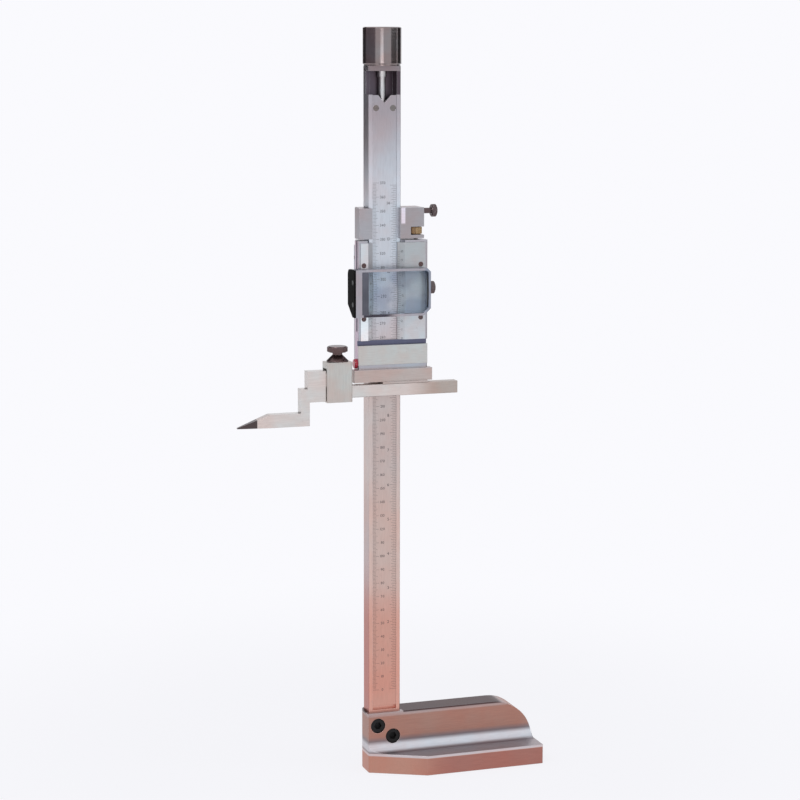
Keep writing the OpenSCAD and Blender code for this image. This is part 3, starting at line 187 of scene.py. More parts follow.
class GaugeStudio(PropertyGroup):
    """Camera and lights."""

    camera: FloatVectorProperty(
        name="Camera", description="Place of the camera", subtype="XYZ", unit="LENGTH", size=3,
        default=(-0.5079, -1.5177, 0.520),
    )
    turn: angle("Turn", "Turn of the camera", -18.97)
    tilt: angle("Tilt", "Tilt downwards", 8.75)
    roll: angle("Roll", "Roll of the camera", 0.09)
    lens: FloatProperty(name="Lens", description="Focal length in millimetres", default=101.1, min=20, max=300)
    floor: seen_colour("Floor", "Floor and background", (0.98, 0.98, 0.995))
    key: FloatProperty(name="Key light", description="Power of the key light", default=9.0, min=0, max=100)
    fill: FloatProperty(name="Fill light", description="Power of the fill light", default=5.0, min=0, max=100)
    strip: FloatProperty(name="Strip light", description="Power of the strip light", default=0.5, min=0, max=100)
    ambient: FloatProperty(name="Ambient", description="Strength of the soft light", default=0.55, min=0, max=1)


# Shader nodes

def linear(rgb, scale=1.0):
    """The seen colour as light, with full alpha: the sRGB curve, then a factor."""
    c = np.array(rgb[:3], float)
    light = np.where(c <= 0.04045, c / 12.92, ((c + 0.055) / 1.055) ** 2.4) * scale
    return (*np.clip(light, 0, 1), 1.0)


class Wire:
    """A socket with a value on it. Expressions on wires add their Math nodes."""

    def __init__(self, finish, socket):
        self.finish, self.socket = finish, socket

    def maths(self, operation, *values):
        return self.finish.node("ShaderNodeMath", {"operation": operation}, values)

    def __add__(self, other):
        return self.maths("ADD", self, other)

    __radd__ = __add__

    def __sub__(self, other):
        return self.maths("SUBTRACT", self, other)

    def __rsub__(self, other):
        return self.maths("SUBTRACT", other, self)

    def __mul__(self, other):
        return self.maths("MULTIPLY", self, other)

    __rmul__ = __mul__

    def __lt__(self, other):
        return self.maths("LESS_THAN", self, other)

    def __abs__(self):
        return self.maths("ABSOLUTE", self)

    def most(self, other):
        """The greater of the two."""
        return self.maths("MAXIMUM", self, other)

    def ease(self, low, high):
        """0 below low, 1 above high, and a smooth step between."""
        return self.finish.node(
            "ShaderNodeMapRange", {"interpolation_type": "SMOOTHSTEP"},
            {"Value": self, "From Min": low, "From Max": high},
        )


class Finish:
    """Builds the nodes of a new material, or of a world."""

    def __init__(self, name, world=None):
        self.block = world or bpy.data.materials.new(name)
        self.output = "ShaderNodeOutputWorld" if world else "ShaderNodeOutputMaterial"
        self.block.use_nodes = True
        self.tree = self.block.node_tree
        self.tree.nodes.clear()

    def node(self, kind, settings=None, values=(), out=0):
        """Adds a node, sets its settings and then its sockets, and returns one output as a wire."""
        node = self.tree.nodes.new(kind)
        for key, value in (settings or {}).items():
            if key == "stops":
                for i, (place, rgb) in enumerate(value):
                    stop = node.color_ramp.elements[i] if i < 2 else node.color_ramp.elements.new(place)
                    stop.position, stop.color = place, rgb
            else:
                setattr(node, key, value)
        for key, value in values.items() if isinstance(values, dict) else enumerate(values):
            if isinstance(value, Wire):
                self.tree.links.new(value.socket, node.inputs[key])
            else:
                node.inputs[key].default_value = value
        return Wire(self, node.outputs[out]) if node.outputs else None

    def mix(self, share, a, b, blend="MIX"):
        """Colour a where share is 0, and where it is 1 colour b, or a blended with b in another way."""
        return self.node("ShaderNodeMix", {"data_type": "RGBA", "blend_type": blend}, {0: share, 6: a, 7: b}, out=2)

    def place(self):
        """The place on the piece at rest, in the shared frame."""
        return self.node("ShaderNodeTexCoord", out="Object")

    def axis(self, name):
        """One coordinate of the place, in metres."""
        return self.node("ShaderNodeSeparateXYZ", None, [self.place()], out=name)

    def near(self, name, middle, half):
        """1 where a coordinate is less than half from middle, both in millimetres, and 0 elsewhere."""
        return abs(self.axis(name) - middle * MM) < half * MM

    def edges(self, radius, low, high):
        """The normal with rounded edges, and a share that is 0 on flats and 1 on edges."""
        rounded = self.node("ShaderNodeBevel", {"samples": 4}, {"Radius": radius})
        flat = self.node("ShaderNodeNewGeometry", out="Normal")
        same = self.node("ShaderNodeVectorMath", {"operation": "DOT_PRODUCT"}, [rounded, flat], out="Value")
        return rounded, (1 - same).ease(low, high)

    def noise(self, per_metre, detail=3.0, rough=0.55):
        """Noise with so many cells per metre along X, Y and Z."""
        spread = self.node("ShaderNodeVectorMath", {"operation": "MULTIPLY"}, [self.place(), per_metre])
        return self.node(
            "ShaderNodeTexNoise", None, {"Vector": spread, "Scale": 1.0, "Detail": detail, "Roughness": rough}
        )

    def by_height(self, stops):
        """A colour that changes with height. Each stop is a height in millimetres and a colour as light."""
        low, high = stops[0][0] * MM, stops[-1][0] * MM
        share = (self.axis("Z") - low) * (1 / (high - low))
        places = [((z * MM - low) / (high - low), light) for z, light in stops]
        return self.node("ShaderNodeValToRGB", {"stops": places}, [share])

    def end(self, shader):
        """Adds the output and returns the material or world."""
        self.node(self.output, None, {"Surface": shader})
        return self.block


def ground(name, tint, rough=0.34, grain=(2600, 2600, 90), cloud=22.0, soft=0.35 * MM, wear_and_sheen=0.5, bump=0.25):
    """Ground or satin steel: fine scratches along one way, soft clouds, and edges worn bright, partly as a painted
    highlight.

    tint is a colour or a function of the Finish that returns one.
    """
    f = Finish(name)
    base = tint(f) if callable(tint) else linear(tint)
    lines = f.noise(grain, 2.0)
    clouds = f.noise((cloud, cloud, cloud), 4.0)
    marks = f.noise((9 * cloud, 7 * cloud, 5 * cloud), 5.0, 0.7).ease(0.62, 0.74)
    rounded, edge = f.edges(soft, 0.015, 0.2)
    warm, cool = linear((0.98, 0.93, 0.92)), linear((0.96, 0.99, 1.0))
    dim, full = linear((0.95, 0.95, 0.95)), linear((1.0, 1.0, 1.0))
    stain, rubbed_and_sheen = linear((0.42, 0.38, 0.38)), linear((0.93, 0.93, 0.94))
    shade = f.mix(clouds.ease(0.3, 0.7), warm, cool)
    fine = f.mix(lines.ease(0.25, 0.75), dim, full)
    colour = f.mix(1.0, f.mix(1.0, base, shade, "MULTIPLY"), fine, "MULTIPLY")
    colour = f.mix(marks * 0.18, colour, stain)
    # Edges made brighter: partly worn, partly a painted highlight.
    colour = f.mix(edge * wear_and_sheen, colour, rubbed_and_sheen)
    roughness = rough - 0.06 + lines * 0.1 + clouds * 0.05 - edge * 0.08 + marks * 0.06
    normal = f.node(
        "ShaderNodeBump", None, {"Strength": bump, "Distance": 0.03 * MM, "Height": lines, "Normal": rounded}
    )
    return f.end(f.node("ShaderNodeBsdfPrincipled", None, {
        "Base Color": colour, "Roughness": roughness, "Metallic": 0.92, "Normal": normal,
    }))


def turned(name, tint, rough=0.22):
    """Turned metal: fine rings across the axis and small dark marks."""
    return ground(name, tint, rough, (60, 60, 5200), cloud=60.0, soft=0.15 * MM, wear_and_sheen=0.35, bump=0.15)


def moulded(name, tint, rough, coat=0.0, gloss=0.5, pale=0.25):
    """Moulded plastic, lacquer or black oxide: a fine even grain and slightly pale edges, partly worn and partly a
    painted highlight.
    """
    f = Finish(name)
    grain = f.noise((5200, 5200, 5200), 2.0)
    clouds = f.noise((60, 60, 60), 3.0)
    rounded, edge = f.edges(0.2 * MM, 0.02, 0.25)
    colour = f.mix(clouds.ease(0.35, 0.7), linear(tint, 0.8), linear(tint, 1.25))
    # Paler edges: partly worn, partly a painted highlight.
    colour = f.mix(edge * pale, colour, linear((0.5, 0.5, 0.52)))
    normal = f.node(
        "ShaderNodeBump", None, {"Strength": 0.2, "Distance": 0.02 * MM, "Height": grain, "Normal": rounded}
    )
    return f.end(f.node("ShaderNodeBsdfPrincipled", None, {
        "Base Color": colour, "Roughness": rough + clouds * 0.08, "Normal": normal, "Coat Weight": coat,
        "Specular IOR Level": gloss,
    }))


def clear_glass(name, tint, pale):
    """Clear glass with a faint blue coat in soft patches and a little dust."""
    f = Finish(name)
    dust = f.noise((420, 420, 420), 4.0, 0.7).ease(0.6, 0.8)
    patch = f.noise((55, 55, 80), 1.0).ease(0.44, 0.58)
    coat = f.mix(patch, linear(tint), linear(pale))
    return f.end(f.node("ShaderNodeBsdfPrincipled", None, {
        "Base Color": f.mix(dust * 0.3, coat, linear((0.93, 0.95, 0.97))),
        "Roughness": 0.02 + dust * 0.06, "Transmission Weight": 1.0, "IOR": 1.5,
    }))


def ink(name, tint):
    """Dark filling of engraved marks, thinner in places."""
    f = Finish(name)
    worn = f.noise((900, 900, 900), 3.0).ease(0.45, 0.75)
    return f.end(f.node("ShaderNodeBsdfPrincipled", None, {
        "Base Color": f.mix(worn * 0.35, linear(tint), linear((0.5, 0.49, 0.5))), "Roughness": 0.55 + worn * 0.1,
    }))


# Meshes

def add_piece(name, points, faces, finish, body, slot_name, smooth=False):
    """Makes a mesh object from points and faces, dresses it and lets it ride on a body."""
    mesh = bpy.data.meshes.new(name)
    mesh.from_pydata(points.tolist(), [], faces.tolist() if isinstance(faces, np.ndarray) else faces)
    mesh.validate()
    mesh.polygons.foreach_set("use_smooth", [smooth] * len(mesh.polygons))
    mesh.materials.append(finish)
    piece = bpy.data.objects.new(name, mesh)
    bpy.context.scene.collection.objects.link(piece)
    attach(piece, body)
    return piece


def bars(start, along, across):
    """Flat bars: each runs from its start along a vector, and across is half its width to each side."""
    low, high = start - across, start + across
    points = np.stack([low, low + along, high + along, high], axis=1).reshape(-1, 3)
    faces = np.arange(len(points)).reshape(-1, 4)
    return points, faces


class Numerals:
    """Outlines of the digits as flat meshes, one unit high."""

    def __init__(self):
        self.known = {}

    def digit(self, sign):
        """The digit's points, faces and width, from Blender's own font."""
        if sign not in self.known:
            curve = bpy.data.curves.new("digit", "FONT")
            curve.body, curve.resolution_u = sign, 3
            text = bpy.data.objects.new("digit", curve)
            mesh = bpy.data.meshes.new_from_object(text)
            points = np.array([v.co[:2] for v in mesh.vertices])
            low, high = points.min(axis=0), points.max(axis=0)
            size = high[1] - low[1]
            faces = [list(p.vertices) for p in mesh.polygons]
            self.known[sign] = ((points - low) / size, faces, (high[0] - low[0]) / size)
            bpy.data.objects.remove(text)
            bpy.data.curves.remove(curve)
            bpy.data.meshes.remove(mesh)
        return self.known[sign]

    def words(self, items, height, right, up):
        """Lays words out: item is (text, centre). right and up are the directions of the writing."""
        points, faces, count = [], [], 0
        for text, centre in items:
            parts = [self.digit(c) for c in text]
            width = sum(p[2] for p in parts) + DIGIT_GAP * (len(parts) - 1)
            x = -width / 2
            for shape, polygons, wide in parts:
                flat = (shape + [x, -0.5]) * height
                points.append(centre + flat[:, :1] * right + flat[:, 1:] * up)
                faces += [[i + count for i in p] for p in polygons]
                count += len(shape)
                x += wide + DIGIT_GAP
        return np.concatenate(points), faces


def ladder(x, y, heights):
    """Points above each other, one at each height."""
    return np.stack([np.full(heights.shape, x), np.full(heights.shape, y), heights], axis=1)


def joined(*parts):
    """Several lots of points and faces as one."""
    points, faces, count = [], [], 0
    for p, f in parts:
        points.append(p)
        faces += [[int(i) + count for i in face] for face in f]
        count += len(p)
    return np.concatenate(points), faces


def thread(axis_at, radius, depth, pitch, low, high, ends, sides=20, rows_per_turn=6):
    """A screw along Z: its radius is full less a triangle wave of height over pitch less angle over a turn.

    ends gives plain lengths at the bottom and top, where the wave fades out.
    """
    rows = int((high - low) / pitch * rows_per_turn) + 2
    z = np.linspace(low, high, rows)[:, None]
    angles = np.linspace(0, 2 * np.pi, sides, endpoint=False)[None, :]
    wave = np.abs(((z - low) / pitch - angles / (2 * np.pi)) % 1 * 2 - 1)
    fade = np.clip((z - low - ends[0]) / pitch, 0, 1) * np.clip((high - ends[1] - z) / pitch, 0, 1)
    r = radius - depth * wave * fade
    grid = np.stack([
        axis_at[0] + r * np.cos(angles), axis_at[1] + r * np.sin(angles), np.broadcast_to(z, r.shape)
    ], axis=-1).reshape(-1, 3)
    k = np.arange(sides)
    start = np.arange(rows - 1)[:, None] * sides
    i, j = start + k, start + (k + 1) % sides
    walls = np.stack([i, j, j + sides, i + sides], axis=-1).reshape(-1, 4)
    points = np.concatenate([grid, [[*axis_at, low], [*axis_at, high]]])
    last = (rows - 1) * sides
    bottom = [[len(grid), int((a + 1) % sides), int(a)] for a in k]
    top = [[len(grid) + 1, last + int(a), last + int((a + 1) % sides)] for a in k]
    return points, walls.tolist() + bottom + top


# Operators

def dress(finish, *nodes):
    """Gives CAD nodes a finish."""
    for name in nodes:
        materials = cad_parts[name].data.materials
        materials.clear()
        materials.append(finish)


class GAUGE_OT_steel(Operator):
    """Finish the foot, column and scale"""

    bl_idname = "gauge.steel"
    bl_label = "Foot, column and scale"

    def execute(self, context):
        c = context.scene.gauge_colours

        def foot(f):
            """Painted light: warm sides as a painted reflection, redder at the tail, a painted highlight on the cove
            between grey bands of painted shade, painted shade on the top and around the screws.
            """
            side_top = 12.4
            side, cove, spine = linear(c.foot_side), linear(c.foot_cove), linear(c.foot_spine)
            pale, grey = linear((0.86, 0.80, 0.80)), linear((0.56, 0.51, 0.52))
            # By height: the pale band at the plinth's rim, the cove and the pale band at the top edge are painted
            # highlights; the grey bands beside the cove are painted shade.
            rise = f.by_height([
                (0, side), (side_top, side), (12.9, pale), (14.2, pale), (14.7, grey), (16.4, cove), (19.8, cove),
                (22.6, grey), (26, spine), (40.5, spine), (41.8, linear((0.72, 0.62, 0.6))),
                (43.5, linear((0.72, 0.68, 0.68))),
            ])
            # Painted shade around the column's screws in the foot.
            hole_shade = f.near("Y", -8.1, 2.5) * f.near("X", 0, 12.8) * f.near("Z", 30, 11)
            off_front_wall = (f.axis("X") - 13 * MM).most(f.axis("Y") + 5.5 * MM).ease(0, MM)
            # Painted shade on the top face of the spine.
            top = f.axis("Z").ease(42.2 * MM, 43.2 * MM) * off_front_wall
            # Painted reflection, darker and redder towards the tail.
            tail = f.axis("X").ease(10 * MM, 45 * MM) * (f.axis("Z") < side_top * MM)
            rise = f.mix(top, rise, linear(c.foot_top))
            rise = f.mix(tail, rise, linear(c.foot_tail))
            return f.mix(hole_shade, rise, linear((0.10, 0.09, 0.10)))

        def column(scale=1.0):
            """A tint for the column or the main scale: a painted reflection, warm at the foot, cool above the slider
            and darker near the top.
            """
            stops = (
                (10, c.column_foot), (110, c.column_foot), (140, c.column_low), (190, c.column_low),
                (230, c.column_mid), (291, c.column_mid), (336, c.column_high), (430, c.column_high),
                (480, c.column_end), (512, c.column_end),
            )
            return lambda f: f.by_height([(z, linear(rgb, scale)) for z, rgb in stops])

        def recessed(f):
            """The column's tint, with a painted reflection that makes its left side darker and redder low down, and
            painted shade in the recess above the scale's end.
            """
            # Painted shade in the recess under the cap and in the deeper channel behind the spindle.
            recess_shade = f.axis("Z").ease(491.6 * MM, 492.1 * MM) * (f.axis("Y") < 5.7 * MM) * f.near("X", 0, 11.9)
            channel_shade = f.axis("Z").ease(472.0 * MM, 472.6 * MM) * f.near("Y", 2, 3.5) * f.near("X", 0, 9.5)
            # Painted reflection on the left side, darker and redder low down, cooler higher up.
            side = f.by_height([
                (60, (0.71, 0.53, 0.55, 1)), (112, (0.70, 0.52, 0.54, 1)), (132, (0.75, 0.64, 0.68, 1)),
                (155, (0.8, 0.84, 0.92, 1)), (196, (0.82, 0.88, 0.93, 1)), (225, (1, 1, 1, 1)),
            ])
            warm = f.mix(f.axis("X") < -11.7 * MM, column()(f), side, "MULTIPLY")
            return f.mix(recess_shade.most(channel_shade), warm, linear(c.recess))

        def cap(f):
            """The cap's tint, with a painted reflection that makes its left side paler."""
            return f.mix(f.axis("X") < -11.8 * MM, linear(c.cap), linear((0.92, 0.90, 0.92)))

        dress(ground("foot_ground", foot, 0.36, (90, 2600, 2600), cloud=26.0, soft=0.5 * MM, wear_and_sheen=0.35), "base")
        dress(ground("column_ground", recessed, 0.34), "column")
        dress(ground("scale_satin", column(0.9), 0.3, ALONG_Z, soft=0.15 * MM), "main_scale")
        dress(turned("cap_turned", cap), "bearing_cap")
        dress(turned("bracket_turned", c.bright), "scale_bracket")
        return {"FINISHED"}


class GAUGE_OT_slider(Operator):
    """Finish the slider, its plates and the carriage"""

    bl_idname = "gauge.slider"
    bl_label = "Slider and carriage"

    def execute(self, context):
        c = context.scene.gauge_colours

        def body(f):
            """Painted light: a warm reflection on the flange, cool above, a mauve reflection on the left cheek and
            painted shade in the groove.
            """
            warm, cool = linear(c.flange), linear(c.slider)
            # Painted warm reflection on the flange.
            rise = f.by_height([(270, warm), (297, warm), (299, cool), (396, cool)])
            # Painted reflection on the left cheek.
            side = (f.axis("X") < -20.8 * MM) * f.axis("Z").ease(297 * MM, 301 * MM)
            # Painted shade in the groove under the verniers.
            groove = f.near("Z", 316.55, 1.9) * (f.axis("Y") < -7.3 * MM)
            return f.mix(groove, f.mix(side, rise, linear(c.cheek)), linear(c.groove))

        def carriage(f):
            """Painted reflection: grey left of the column, mauve to its right, with a painted highlight high along the
            window's edge.
            """
            rise = f.mix(f.axis("X").ease(-16 * MM, 2 * MM), linear(c.carriage_dark), linear(c.carriage))
            high = f.axis("Z").ease(400.5 * MM, 402 * MM)
            # Painted highlight along the window's edge.
            edge = f.near("X", 12.7, 1.5) * (f.axis("Y") < -9.5 * MM) * high
            return f.mix(edge, rise, linear((0.95, 0.92, 0.96)))

        def plates(f):
            """Painted reflection: bright at the lower end of each plate, a little duller above and on the inch plate.
            """
            rise = f.axis("Z").ease(320 * MM, 386 * MM)
            left = f.mix(rise, linear(c.plates), linear(c.plates_high))
            right = f.mix(rise, linear(c.plates_right), linear(c.plates_dim))
            return f.mix(f.axis("X").ease(-0.5 * MM, 0.5 * MM), left, right)

        dress(ground("slider_satin", body, 0.33, ALONG_X, cloud=30.0), "slider_frame", "slider_back_plate")
        dress(ground("carriage_satin", carriage, 0.33, ALONG_X, cloud=40.0), "carriage_frame")
        thin = {"cloud": 45.0, "soft": 0.15 * MM, "wear_and_sheen": 0.3, "bump": 0.12}
        dress(ground("plates_satin", plates, 0.36, ALONG_X, **thin), "metric_vernier", "inch_vernier")
        dress(ground("blank_satin", c.blank, 0.36, ALONG_X, **thin), "blank_plate")
        return {"FINISHED"}


class GAUGE_OT_scriber(Operator):
    """Finish the jaw bar, the clamp box and the scriber"""

    bl_idname = "gauge.scriber"
    bl_label = "Jaw and scriber"

    def execute(self, context):
        c = context.scene.gauge_colours

        def jaw(f):
            """Bright under the slider, duller towards the free end."""
            return f.mix(f.axis("X").ease(12 * MM, 38 * MM), linear(c.jaw), linear(c.jaw_end))

        dress(ground("jaw_ground", jaw, 0.33, ALONG_X, cloud=35.0, soft=0.25 * MM), "jaw_bar", "scriber_shank")
        dress(ground("box_satin", c.box, 0.36, ALONG_Z, cloud=45.0, soft=0.25 * MM), "clamp_box")
        dress(ground("tip_ground", c.tip, 0.22, ALONG_X, cloud=60.0, soft=0.1 * MM), "scriber_tip")
        return {"FINISHED"}


class GAUGE_OT_small_parts(Operator):
    """Finish the knob, screws, brass parts, plastics and the seal"""

    bl_idname = "gauge.small_parts"
    bl_label = "Knob and small parts"

    def execute(self, context):
        c = context.scene.gauge_colours
        polish = ground("knob_polished", c.knob, 0.13, (40, 40, 3000), cloud=60.0, soft=0.2 * MM, wear_and_sheen=0.4, bump=0.05)
        dress(polish, "adjust_knob")
        dress(
            turned("screws_turned", c.screws), "cap_screws", "bracket_screws", "scale_guide_screws",
            "slider_back_screws",
        )
        dress(
            turned("screws_dark", c.dark_screws, 0.26), "slider_clamp_screw", "carriage_clamp_screw", "clamp_screw",
            "vernier_screws",
        )
        dress(
            turned("brass_turned", c.brass, 0.26), "feed_nut", "gib_strip", "slider_clamp_shoe",
            "carriage_clamp_shoe", "clamp_pad",
        )
        dress(
            moulded("oxide_black", (0.11, 0.11, 0.12), 0.34), "knob_grub_screw", "gib_screws", "jaw_screws",
            "lens_screws",
        )
        dress(moulded("oxide_deep", (0.09, 0.085, 0.09), 0.5, gloss=0.25, pale=0.06), "column_screws")
        dress(moulded("seal_lacquer", c.seal, 0.25, coat=0.6), "seal_plug")
        return {"FINISHED"}


class GAUGE_OT_magnifier(Operator):
    """Finish the magnifier"""

    bl_idname = "gauge.magnifier"
    bl_label = "Magnifier"

    def execute(self, context):
        c = context.scene.gauge_colours

        def frame_tint(f):
            """Satin arm on the left, a painted shadow on the lower rail beside it and a pale post at the right."""
            x, z = f.axis("X"), f.axis("Z")
            post = x.ease(24 * MM, 28 * MM)
            # Painted shadow of the glass on the left part of the lower rail.
            rail = x.ease(-20.5 * MM, -19.5 * MM) * (z < 346 * MM) * (1 - x.ease(-4 * MM, 6 * MM))
            return f.mix(rail, f.mix(post, linear(c.lens_frame), linear(c.lens_post)), linear(c.lens_rail))

        dress(ground("lens_satin", frame_tint, 0.36, ALONG_Z, cloud=40.0, soft=0.2 * MM), "lens_frame")
        dress(moulded("lens_grey", (0.33, 0.335, 0.38), 0.4), "lens_holder")
        dress(moulded("lens_black", (0.03, 0.025, 0.03), 0.55, gloss=0.04, pale=0.03), "lens_side_cover")
        dress(clear_glass("lens_coated", c.glass, c.glass_pale), "lens_glass")
        return {"FINISHED"}


class GAUGE_OT_main_marks(Operator):
    """Engrave the main scale: millimetres on the left, twentieths of an inch on the right"""

    bl_idname = "gauge.main_marks"
    bl_label = "Main scale marks"

    def execute(self, context):
        m = context.scene.gauge_marks
        filling = ink("mark_ink", context.scene.gauge_colours.ink)
        low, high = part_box("main_scale")
        y = low[1] - m.lift
        right, up = np.array([1.0, 0, 0]), np.array([0, 0, 1.0])
        numerals = Numerals()

        step = np.arange(int(m.metric_span / MM) + 1)
        reach = np.where(step % 10 == 0, m.long, np.where(step % 5 == 0, m.middle, m.short))
        start = ladder(low[0] + LINE_INSET, y, m.zero_z + step * MM)
        lines = bars(start, reach[:, None] * right, m.line_w / 2 * -up)
        tens = [
            (str(s), np.array([METRIC_NUMERAL_X, y, m.zero_z + s * MM])) for s in range(0, len(step), 10)
        ]
        numbers = numerals.words(tens, m.numeral, right, up)
        add_piece("metric_marks", *joined(lines, numbers), filling, "scale", "black_screw")

        step = np.arange(m.inch_steps + 1)
        reach = np.where(step % 10 == 0, m.long, np.where(step % 2 == 0, m.middle, m.short))
        start = ladder(high[0] - LINE_INSET, y, m.zero_z + step * INCH / 20)
        lines = bars(start, -reach[:, None] * right, m.line_w / 2 * up)
        inches = [
            (str(s // 20), np.array([INCH_NUMERAL_X, y, m.zero_z + s * INCH / 20]))
            for s in range(20, len(step), 20)
        ]
        numbers = numerals.words(inches, m.inch_numeral, right, up)
        add_piece("inch_marks", *joined(lines, numbers), filling, "scale", "black_screw")
        return {"FINISHED"}


class GAUGE_OT_vernier_marks(Operator):
    """Engrave the bevelled edges of both verniers"""

    bl_idname = "gauge.vernier_marks"
    bl_label = "Vernier marks"

    def execute(self, context):
        m = context.scene.gauge_marks
        filling = bpy.data.materials["mark_ink"]
        numerals = Numerals()
        up = np.array([0, 0, 1.0])
        step = np.arange(VERNIER_PARTS + 1)
        reach = np.where(step % 5 == 0, VERNIER_LONG, VERNIER_SHORT)
        for name, node, side, part in (
            ("metric_vernier_marks", "metric_vernier", -1, METRIC_PART),
            ("inch_vernier_marks", "inch_vernier", 1, INCH_PART),
        ):
            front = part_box(node)[0][1]
            edge = np.array([side * BEVEL_EDGE_X, BEVEL_EDGE_Y, 0])
            crest = np.array([side * BEVEL_CREST_X, front, 0])
            slope = (crest - edge) / np.linalg.norm(crest - edge)
            out = side * np.array([slope[1], -slope[0], 0])
            right = slope * side
            foot = edge + slope * VERNIER_START + out * m.lift
            start = foot[None, :] + (m.vernier_z + step * part)[:, None] * up
            lines = bars(start, reach[:, None] * slope, m.line_w / 2 * up * side)
            tens = [
                (str(s // 5), foot + slope * VERNIER_NUMERAL_AT + up * (m.vernier_z + s * part))
                for s in range(0, len(step), 5)
            ]
            numbers = numerals.words(tens, m.vernier_numeral, right, up)
            add_piece(name, *joined(lines, numbers), filling, "slider", "black_screw")
        return {"FINISHED"}


class GAUGE_OT_threads(Operator):
    """Cut the thread of the fine feed spindle and finish both spindles"""

    bl_idname = "gauge.threads"
    bl_label = "Spindles"

    def execute(self, context):
        t = context.scene.gauge_threads
        c = context.scene.gauge_colours
        steel = turned("spindle_turned", c.spindle, 0.2)
        low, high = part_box("feed_spindle")
        radius = (high[0] - low[0]) / 2
        at = ((low[0] + high[0]) / 2, (low[1] + high[1]) / 2)
        shape = thread(at, radius, t.depth, t.pitch, low[2], high[2], (11 * MM, 0.4 * MM))
        piece = add_piece("feed_thread", *shape, steel, "slider", "bright_steel", True)
        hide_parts("feed_spindle")
        dress(steel, "adjust_spindle")
        return {"FINISHED"}


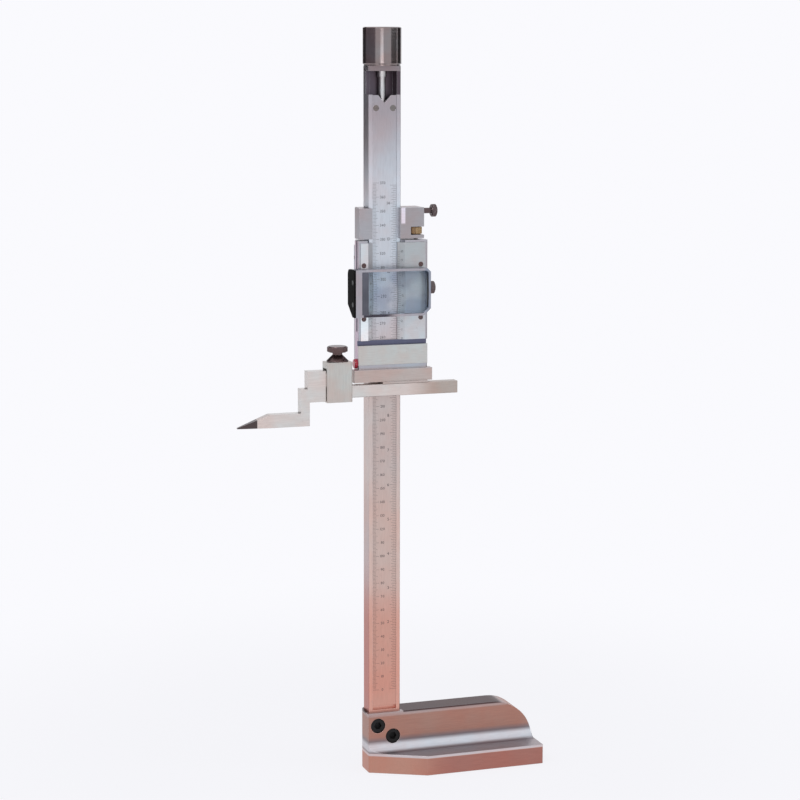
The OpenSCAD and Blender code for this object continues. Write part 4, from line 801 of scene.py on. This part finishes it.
class GAUGE_OT_studio(Operator):
    """Add the floor, the lights and the camera"""

    bl_idname = "gauge.studio"
    bl_label = "Studio"

    def card(self, name, at, towards, wide, high, finish):
        """A flat card that faces a point."""
        side, up = np.array([wide / 2, 0, 0]), np.array([0, high / 2, 0])
        points = np.array([-side - up, side - up, side + up, -side + up])
        turn = (Vector(towards) - Vector(at)).to_track_quat("Z", "Y").to_matrix()
        points = np.array([tuple(turn @ Vector(p) + Vector(at)) for p in points])
        mesh = bpy.data.meshes.new(name)
        mesh.from_pydata(points.tolist(), [], [[0, 1, 2, 3]])
        mesh.materials.append(finish)
        card = bpy.data.objects.new(name, mesh)
        bpy.context.scene.collection.objects.link(card)
        return card

    def lamp(self, name, at, towards, wide, high, power):
        """A soft rectangular light that faces a point."""
        light = bpy.data.lights.new(name, "AREA")
        light.shape, light.size, light.size_y, light.energy = "RECTANGLE", wide, high, power
        lamp = bpy.data.objects.new(name, light)
        lamp.location = at
        lamp.rotation_euler = (Vector(towards) - Vector(at)).to_track_quat("-Z", "Y").to_euler()
        bpy.context.scene.collection.objects.link(lamp)

    def execute(self, context):
        scene = context.scene
        s = scene.gauge_studio
        pale = linear(s.floor)

        world = bpy.data.worlds.new("studio")
        scene.world = world
        sky = Finish("studio", world)
        seen = self.seen(sky)
        soft = sky.node("ShaderNodeBackground", None, {"Color": (0.95, 0.96, 1.0, 1.0), "Strength": s.ambient})
        white = sky.node("ShaderNodeBackground", None, {"Color": pale, "Strength": 1.0})
        sky.end(sky.node("ShaderNodeMixShader", None, [seen, soft, white]))

        # The floor glows like the background, a little less under the gauge, where it shows some of the shadow.
        f = Finish("studio_floor")
        reach = f.node("ShaderNodeVectorMath", {"operation": "LENGTH"}, [f.place()], out="Value")
        share = self.seen(f) * (0.85 + 0.15 * reach.ease(0.15, 0.6))
        paper = f.node("ShaderNodeBsdfDiffuse", None, {"Color": pale})
        glow = f.node("ShaderNodeEmission", None, {"Color": pale, "Strength": 1.0})
        floor = f.end(f.node("ShaderNodeMixShader", None, [share, paper, glow]))
        self.card("floor", (0, 0, -0.3 * MM), (0, 0, 1), 16, 16, floor)

        # Cards beyond the picture that show only as reflections. The one for the knob also shades it.
        for name, at, size, tone in (
            ("flag_left", (-0.42, 0.75, 0.78), (0.7, 0.8), 0.2),
            ("flag_right", (0.95, 0.25, 0.45), (0.7, 1.3), 0.2),
            ("flag_side", (-0.85, 0.08, 0.54), (1.3, 0.26), 0.62),
            ("flag_knob", (0.62, -0.40, 0.53), (0.55, 0.10), 0.2),
        ):
            flag = Finish("studio_" + name)
            paint = flag.node("ShaderNodeBsdfDiffuse", None, {"Color": linear((tone, 0.95 * tone, tone))})
            card = self.card(name, at, (0, 0, at[2]), *size, flag.end(paint))
            card.visible_camera = card.visible_diffuse = card.visible_transmission = False
            card.visible_shadow = name == "flag_knob"

        self.lamp("key", (-1.1, -1.1, 1.5), (0, 0, 0.3), 0.9, 0.9, s.key)
        self.lamp("fill", (1.4, -1.0, 0.9), (0, 0, 0.3), 1.0, 1.0, s.fill)
        self.lamp("strip", (-0.60, -1.79, 0.495), (0, 0, 0.52), 0.6, 0.07, s.strip)

        camera = bpy.data.objects.new("camera", bpy.data.cameras.new("camera"))
        camera.data.lens, camera.data.sensor_width = s.lens, 36
        camera.location = s.camera
        look = Euler((math.pi / 2 - s.tilt, 0, s.turn)).to_matrix() @ Euler((0, 0, s.roll)).to_matrix()
        camera.rotation_euler = look.to_euler()
        scene.collection.objects.link(camera)
        scene.camera = camera
        scene.view_settings.view_transform = "Standard"
        return {"FINISHED"}

    def seen(self, f):
        """1 for rays that see the background directly, in gloss or through glass."""
        rays = [f.node("ShaderNodeLightPath", out=name) for name in (
            "Is Camera Ray", "Is Glossy Ray", "Is Transmission Ray"
        )]
        return rays[0].most(rays[1]).most(rays[2])


OPERATORS = (
    GAUGE_OT_studio, GAUGE_OT_steel, GAUGE_OT_slider, GAUGE_OT_scriber, GAUGE_OT_small_parts, GAUGE_OT_magnifier,
    GAUGE_OT_main_marks, GAUGE_OT_vernier_marks, GAUGE_OT_threads,
)


class GAUGE_PT_panel(Panel):
    """Lists the gauge's operators and sizes"""

    bl_idname = "GAUGE_PT_panel"
    bl_label = "Height gauge"
    bl_space_type = "VIEW_3D"
    bl_region_type = "UI"
    bl_category = "Height gauge"

    def draw(self, context):
        for operator in OPERATORS:
            self.layout.operator(operator.bl_idname)
        for group in ("gauge_colours", "gauge_marks", "gauge_threads", "gauge_studio"):
            settings = getattr(context.scene, group)
            box = self.layout.box()
            for name in settings.__annotations__:
                box.prop(settings, name)


GROUPS = {
    "gauge_colours": GaugeColours, "gauge_marks": GaugeMarks, "gauge_threads": GaugeThreads,
    "gauge_studio": GaugeStudio,
}


def register():
    for kind in (*GROUPS.values(), *OPERATORS, GAUGE_PT_panel):
        bpy.utils.register_class(kind)
    for name, kind in GROUPS.items():
        setattr(bpy.types.Scene, name, PointerProperty(type=kind))


def unregister():
    for name in GROUPS:
        delattr(bpy.types.Scene, name)
    for kind in reversed((*GROUPS.values(), *OPERATORS, GAUGE_PT_panel)):
        bpy.utils.unregister_class(kind)


def main():
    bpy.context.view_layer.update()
    register()
    for operator in OPERATORS:
        group, name = operator.bl_idname.split(".")
        getattr(getattr(bpy.ops, group), name)()


if __name__ == "__main__":
    main()
